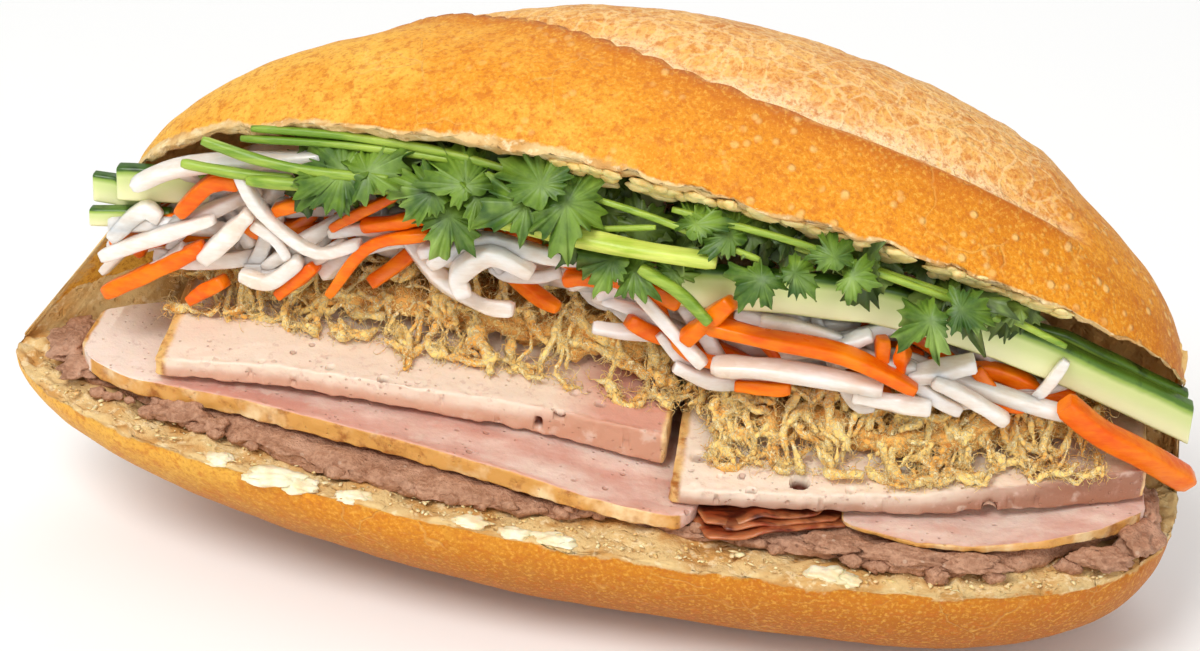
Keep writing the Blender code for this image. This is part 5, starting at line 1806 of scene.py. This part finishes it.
class SANDWICH_OT_meats(bpy.types.Operator):
    """Lay the liver spread and the sliced meats"""
    bl_idname = "sandwich.meats"
    bl_label = "Meats"

    def execute(self, context):
        make_pate(pate_finish())
        # The third colour of each finish is its front face: pinker, and darker with painted shade.
        fried = meat_finish("fried_sausage", rgb(246, 226, 210), rgb(206, 144, 126), rgb(214, 160, 134),
                            rgb(214, 156, 78), 0.32)
        pork = meat_finish("pale_pork_sausage", rgb(236, 214, 192), rgb(212, 154, 134), rgb(200, 146, 116),
                           rgb(228, 184, 112), 0.38)
        dark = meat_finish("pork_sausage_right", rgb(242, 222, 200), rgb(208, 158, 126), rgb(152, 96, 70),
                           rgb(220, 174, 106), 0.38)

        def browned(run, deep, high):
            """Crisp along the front and at the left end."""
            return smooth_step(0.0016, 0.0004, deep) * smooth_step(1.05, 0.85, high) + 0.9 * smooth_step(
                0.016, 0.002, run)

        def light_rim(run, deep, high):
            """Browned at both ends."""
            return smooth_step(0.045, 0.0, run) + 0.8 * smooth_step(0.975, 1.0, run)

        def pink_end(run, deep, high):
            """Pinker towards the right end and low down."""
            return 0.85 * smooth_step(0.70, 0.95, run) + 0.10 + 0.35 * smooth_step(0.8, 0.2, high)

        def pink_middle(run, deep, high):
            """Pink and marbled, but for the left end, and paler to the right."""
            marbling = 0.3 * rough((run * 3.0, deep * 160.0, 0.0), 1.0, 5.0)
            return 0.70 * smooth_step(0.12, 0.17, run) - 0.25 * smooth_step(0.5, 1.0, run) + marbling

        def pink_right(run, deep, high):
            """A faint pink that grows to the right and low down."""
            return 0.12 + 0.45 * smooth_step(0.45, 1.0, run) + 0.25 * smooth_step(0.8, 0.2, high)

        make_slice("fried_slice_left_piece", FRIED_LEFT, fried, ["fried_slice_left"],
                   rind=browned, blush=pink_middle)
        make_slice("pork_slice_left_piece", PORK_LEFT, pork, ["pork_slice_left"],
                   HOLES_LEFT, light_rim, pink_end)
        make_slice("pork_slice_right_piece", PORK_RIGHT, dark, ["pork_slice_right"],
                   HOLES_RIGHT, light_rim, pink_right)
        make_slice("fried_slice_right_piece", FRIED_RIGHT, fried, ["fried_slice_right"],
                   rind=browned, blush=lambda run, deep, high: 0.5)
        make_red_pork(red_pork_finish())
        return {"FINISHED"}


class SANDWICH_OT_floss(bpy.types.Operator):
    """Tease out the pork floss over the slices"""
    bl_idname = "sandwich.floss"
    bl_label = "Floss"

    def execute(self, context):
        settings = context.scene.sandwich_filling
        # The core's finish is a darker copy of the strands' finish: painted shade of the heap's inside.
        matted = floss_finish("shaded_matted_fibre", rgb(186, 112, 34), rgb(240, 176, 84), rgb(255, 226, 152))
        loose = floss_finish("loose_floss", rgb(244, 178, 80), rgb(255, 216, 128), rgb(255, 240, 188))
        for side, front, seed in (("left", FLOSS_LEFT_FRONT, 5), ("right", FLOSS_RIGHT_FRONT, 7)):
            floss_core(side, front, matted)
            floss_strands("floss_strands_" + side, side, front, seed, loose, settings.floss_ropes,
                          settings.floss_hairs)
        return {"FINISHED"}


class SANDWICH_OT_herbs(bpy.types.Operator):
    """Tuck in the cilantro, its stems and the green stalk"""
    bl_idname = "sandwich.herbs"
    bl_label = "Herbs"

    def execute(self, context):
        light = leaf_finish("cilantro_leaf", rgb(42, 80, 12), rgb(116, 148, 40))
        dark = leaf_finish("shaded_cilantro_leaf", rgb(30, 54, 6), rgb(84, 106, 18))
        make_leaves("cilantro_leaves", LEAVES, 0, 41, light, ["cilantro"])
        make_leaves("cilantro_behind", [], context.scene.sandwich_filling.leaves_behind, 53, dark)
        stems = stem_finish("green_stems", rgb(104, 140, 30), rgb(168, 190, 72))
        pale = stem_finish("pale_green_stalk", rgb(160, 184, 44), rgb(218, 226, 110))
        make_stems(stems)
        template = bar(20, 0.30, 3)
        stalk = bend(template, Run(GREEN_STALK), GREEN_STALK_WIDTH, GREEN_STALK_THICK, 5.0, 0.3, 0.15, 0.1)
        template.free()
        add_piece("green_stalk_piece", stalk, [pale], ["green_stalk"])
        return {"FINISHED"}


class SANDWICH_OT_spreads(bpy.types.Operator):
    """Dab on butter and mayonnaise and scatter the crumbs"""
    bl_idname = "sandwich.spreads"
    bl_label = "Butter, mayonnaise and crumbs"

    def execute(self, context):
        make_dabs(cream_finish("butter", rgb(238, 216, 168), rgb(252, 242, 212)))
        make_mayonnaise(cream_finish("mayonnaise", rgb(220, 184, 104), rgb(242, 218, 150)))
        flakes = cream_finish("crumb_flakes", rgb(226, 184, 114), rgb(248, 226, 176))
        make_crumbs(flakes, context.scene.sandwich_filling.crumbs)
        return {"FINISHED"}


class SANDWICH_OT_pickles(bpy.types.Operator):
    """Heap the pickled daikon and carrot sticks"""
    bl_idname = "sandwich.pickles"
    bl_label = "Pickles"

    def execute(self, context):
        settings = context.scene.sandwich_filling
        daikon = root_finish("pickled_daikon", rgb(228, 208, 190), rgb(248, 238, 228), 0.7)
        carrot = root_finish("pickled_carrot", rgb(228, 86, 0), rgb(246, 128, 6), 0.12)
        width = settings.stick_width
        core = make_heap((-0.086, 0.088), lambda x: along(PICKLE_FRONT, x) + 0.006,
                         lambda x: slit_back(x) - 0.006, lambda x, y: floss_over(x, y) + GAP,
                         lambda x, y: pickle_over(x, y) - 0.002, 0.002, 11.0, (40, 60))
        add_piece("pickle_core", core, [daikon], ["pickles"])
        make_sticks("daikon_sticks", DAIKON, settings.daikon_sticks, 11, width, daikon)
        make_sticks("carrot_sticks", CARROT, settings.carrot_sticks, 19, width, carrot)
        template = bar(20)
        stick = bend(template, Run(CARROT_RIGHT), CARROT_RIGHT_WIDTH, CARROT_RIGHT_WIDTH, 3.0, 0.2, 0.06)
        template.free()
        add_piece("carrot_stick_right_piece", stick, [carrot], ["carrot_stick_right"], 50.0)
        return {"FINISHED"}


class SANDWICH_OT_cucumber(bpy.types.Operator):
    """Stand the cucumber slices on edge"""
    bl_idname = "sandwich.cucumber"
    bl_label = "Cucumber"

    def execute(self, context):
        finish = cucumber_finish()
        for name, form in CUCUMBERS.items():
            make_cucumber(name, finish, **form)
        return {"FINISHED"}


class SANDWICH_OT_stage(bpy.types.Operator):
    """Set the floor, the lights and the camera"""
    bl_idname = "sandwich.stage"
    bl_label = "Stage"

    def execute(self, context):
        scene = context.scene
        settings = scene.sandwich_stage
        bm = bmesh.new()
        bmesh.ops.create_grid(bm, x_segments=1, y_segments=1, size=FLOOR_HALF)
        plain = Finish("plain_floor").finish(Base_Color=(*settings.floor_colour, 1.0), Roughness=0.9)
        floor = new_object("floor", bm, [plain])
        scene.collection.objects.link(floor)
        floor.location.z = -FLOOR_DROP
        world = bpy.data.worlds.new("soft_daylight")
        world.use_nodes = True
        sky = world.node_tree.nodes["Background"]
        sky.inputs["Color"].default_value = (1.0, 1.0, 1.0, 1.0)
        sky.inputs["Strength"].default_value = settings.daylight
        scene.world = world
        scene.view_settings.view_transform = "Standard"
        self.light("key", (-0.30, -0.56, 0.84), 0.50, settings.key_power)
        self.light("fill", (0.40, -0.80, 0.40), 0.60, settings.fill_power)
        self.light("rear", (0.10, 0.75, 0.70), 0.60, settings.fill_power)
        self.camera(scene)
        return {"FINISHED"}

    def light(self, name, place, size, power):
        """A round lamp that looks at the sandwich."""
        lamp = bpy.data.lights.new(name, "AREA")
        lamp.shape = "DISK"
        lamp.size = size
        lamp.energy = power
        made = bpy.data.objects.new(name, lamp)
        made.location = place
        made.rotation_euler = (Vector(LAMP_TARGET) - made.location).to_track_quat("-Z", "Y").to_euler()
        bpy.context.scene.collection.objects.link(made)

    def camera(self, scene):
        """The camera, above and a little to the right of the open side."""
        turn, tilt = CAMERA_TURN, CAMERA_TILT
        cosine, sine = math.cos(CAMERA_ROLL), math.sin(CAMERA_ROLL)
        ahead = Vector((-math.sin(turn) * math.cos(tilt), math.cos(turn) * math.cos(tilt), -math.sin(tilt)))
        right = Vector((math.cos(turn), math.sin(turn), 0.0))
        up = right.cross(ahead)
        right, up = right * cosine + up * sine, up * cosine - right * sine
        lens = bpy.data.cameras.new("camera")
        lens.sensor_width = CAMERA_SENSOR
        lens.lens = CAMERA_LENS
        lens.shift_x, lens.shift_y = CAMERA_SHIFT
        lens.clip_start = CAMERA_NEAR
        made = bpy.data.objects.new("camera", lens)
        facing = Matrix((right, up, -ahead)).transposed().to_4x4()
        made.matrix_world = Matrix.Translation(Vector(CAMERA_TARGET) - ahead * CAMERA_DISTANCE) @ facing
        scene.collection.objects.link(made)
        scene.camera = made


class SANDWICH_PT_panel(bpy.types.Panel):
    """Every step of the sandwich, in the order in which they are made"""
    bl_idname = "SANDWICH_PT_panel"
    bl_label = "Banh Mi Sandwich"
    bl_space_type = "VIEW_3D"
    bl_region_type = "UI"
    bl_category = "Sandwich"

    def draw(self, context):
        for group in GROUPS:
            settings = getattr(context.scene, group)
            for name in settings.__annotations__:
                self.layout.prop(settings, name)
        for step in STEPS:
            self.layout.operator(step.bl_idname)


GROUPS = {
    "sandwich_crust": SandwichCrust,
    "sandwich_filling": SandwichFilling,
    "sandwich_stage": SandwichStage,
}
STEPS = [SANDWICH_OT_roll, SANDWICH_OT_meats, SANDWICH_OT_floss, SANDWICH_OT_pickles, SANDWICH_OT_cucumber,
         SANDWICH_OT_herbs, SANDWICH_OT_spreads, SANDWICH_OT_stage]


def register():
    """Register every class, and keep each group of settings on the scene."""
    for name, group in GROUPS.items():
        bpy.utils.register_class(group)
        setattr(bpy.types.Scene, name, bpy.props.PointerProperty(type=group))
    for step in STEPS:
        bpy.utils.register_class(step)
    bpy.utils.register_class(SANDWICH_PT_panel)


def unregister():
    """Undo register, in the opposite order."""
    bpy.utils.unregister_class(SANDWICH_PT_panel)
    for step in reversed(STEPS):
        bpy.utils.unregister_class(step)
    for name, group in GROUPS.items():
        delattr(bpy.types.Scene, name)
        bpy.utils.unregister_class(group)


def main():
    """Make the whole sandwich."""
    register()
    for step in STEPS:
        group, operator = step.bl_idname.split(".")
        getattr(getattr(bpy.ops, group), operator)()


if __name__ == "__main__":
    main()
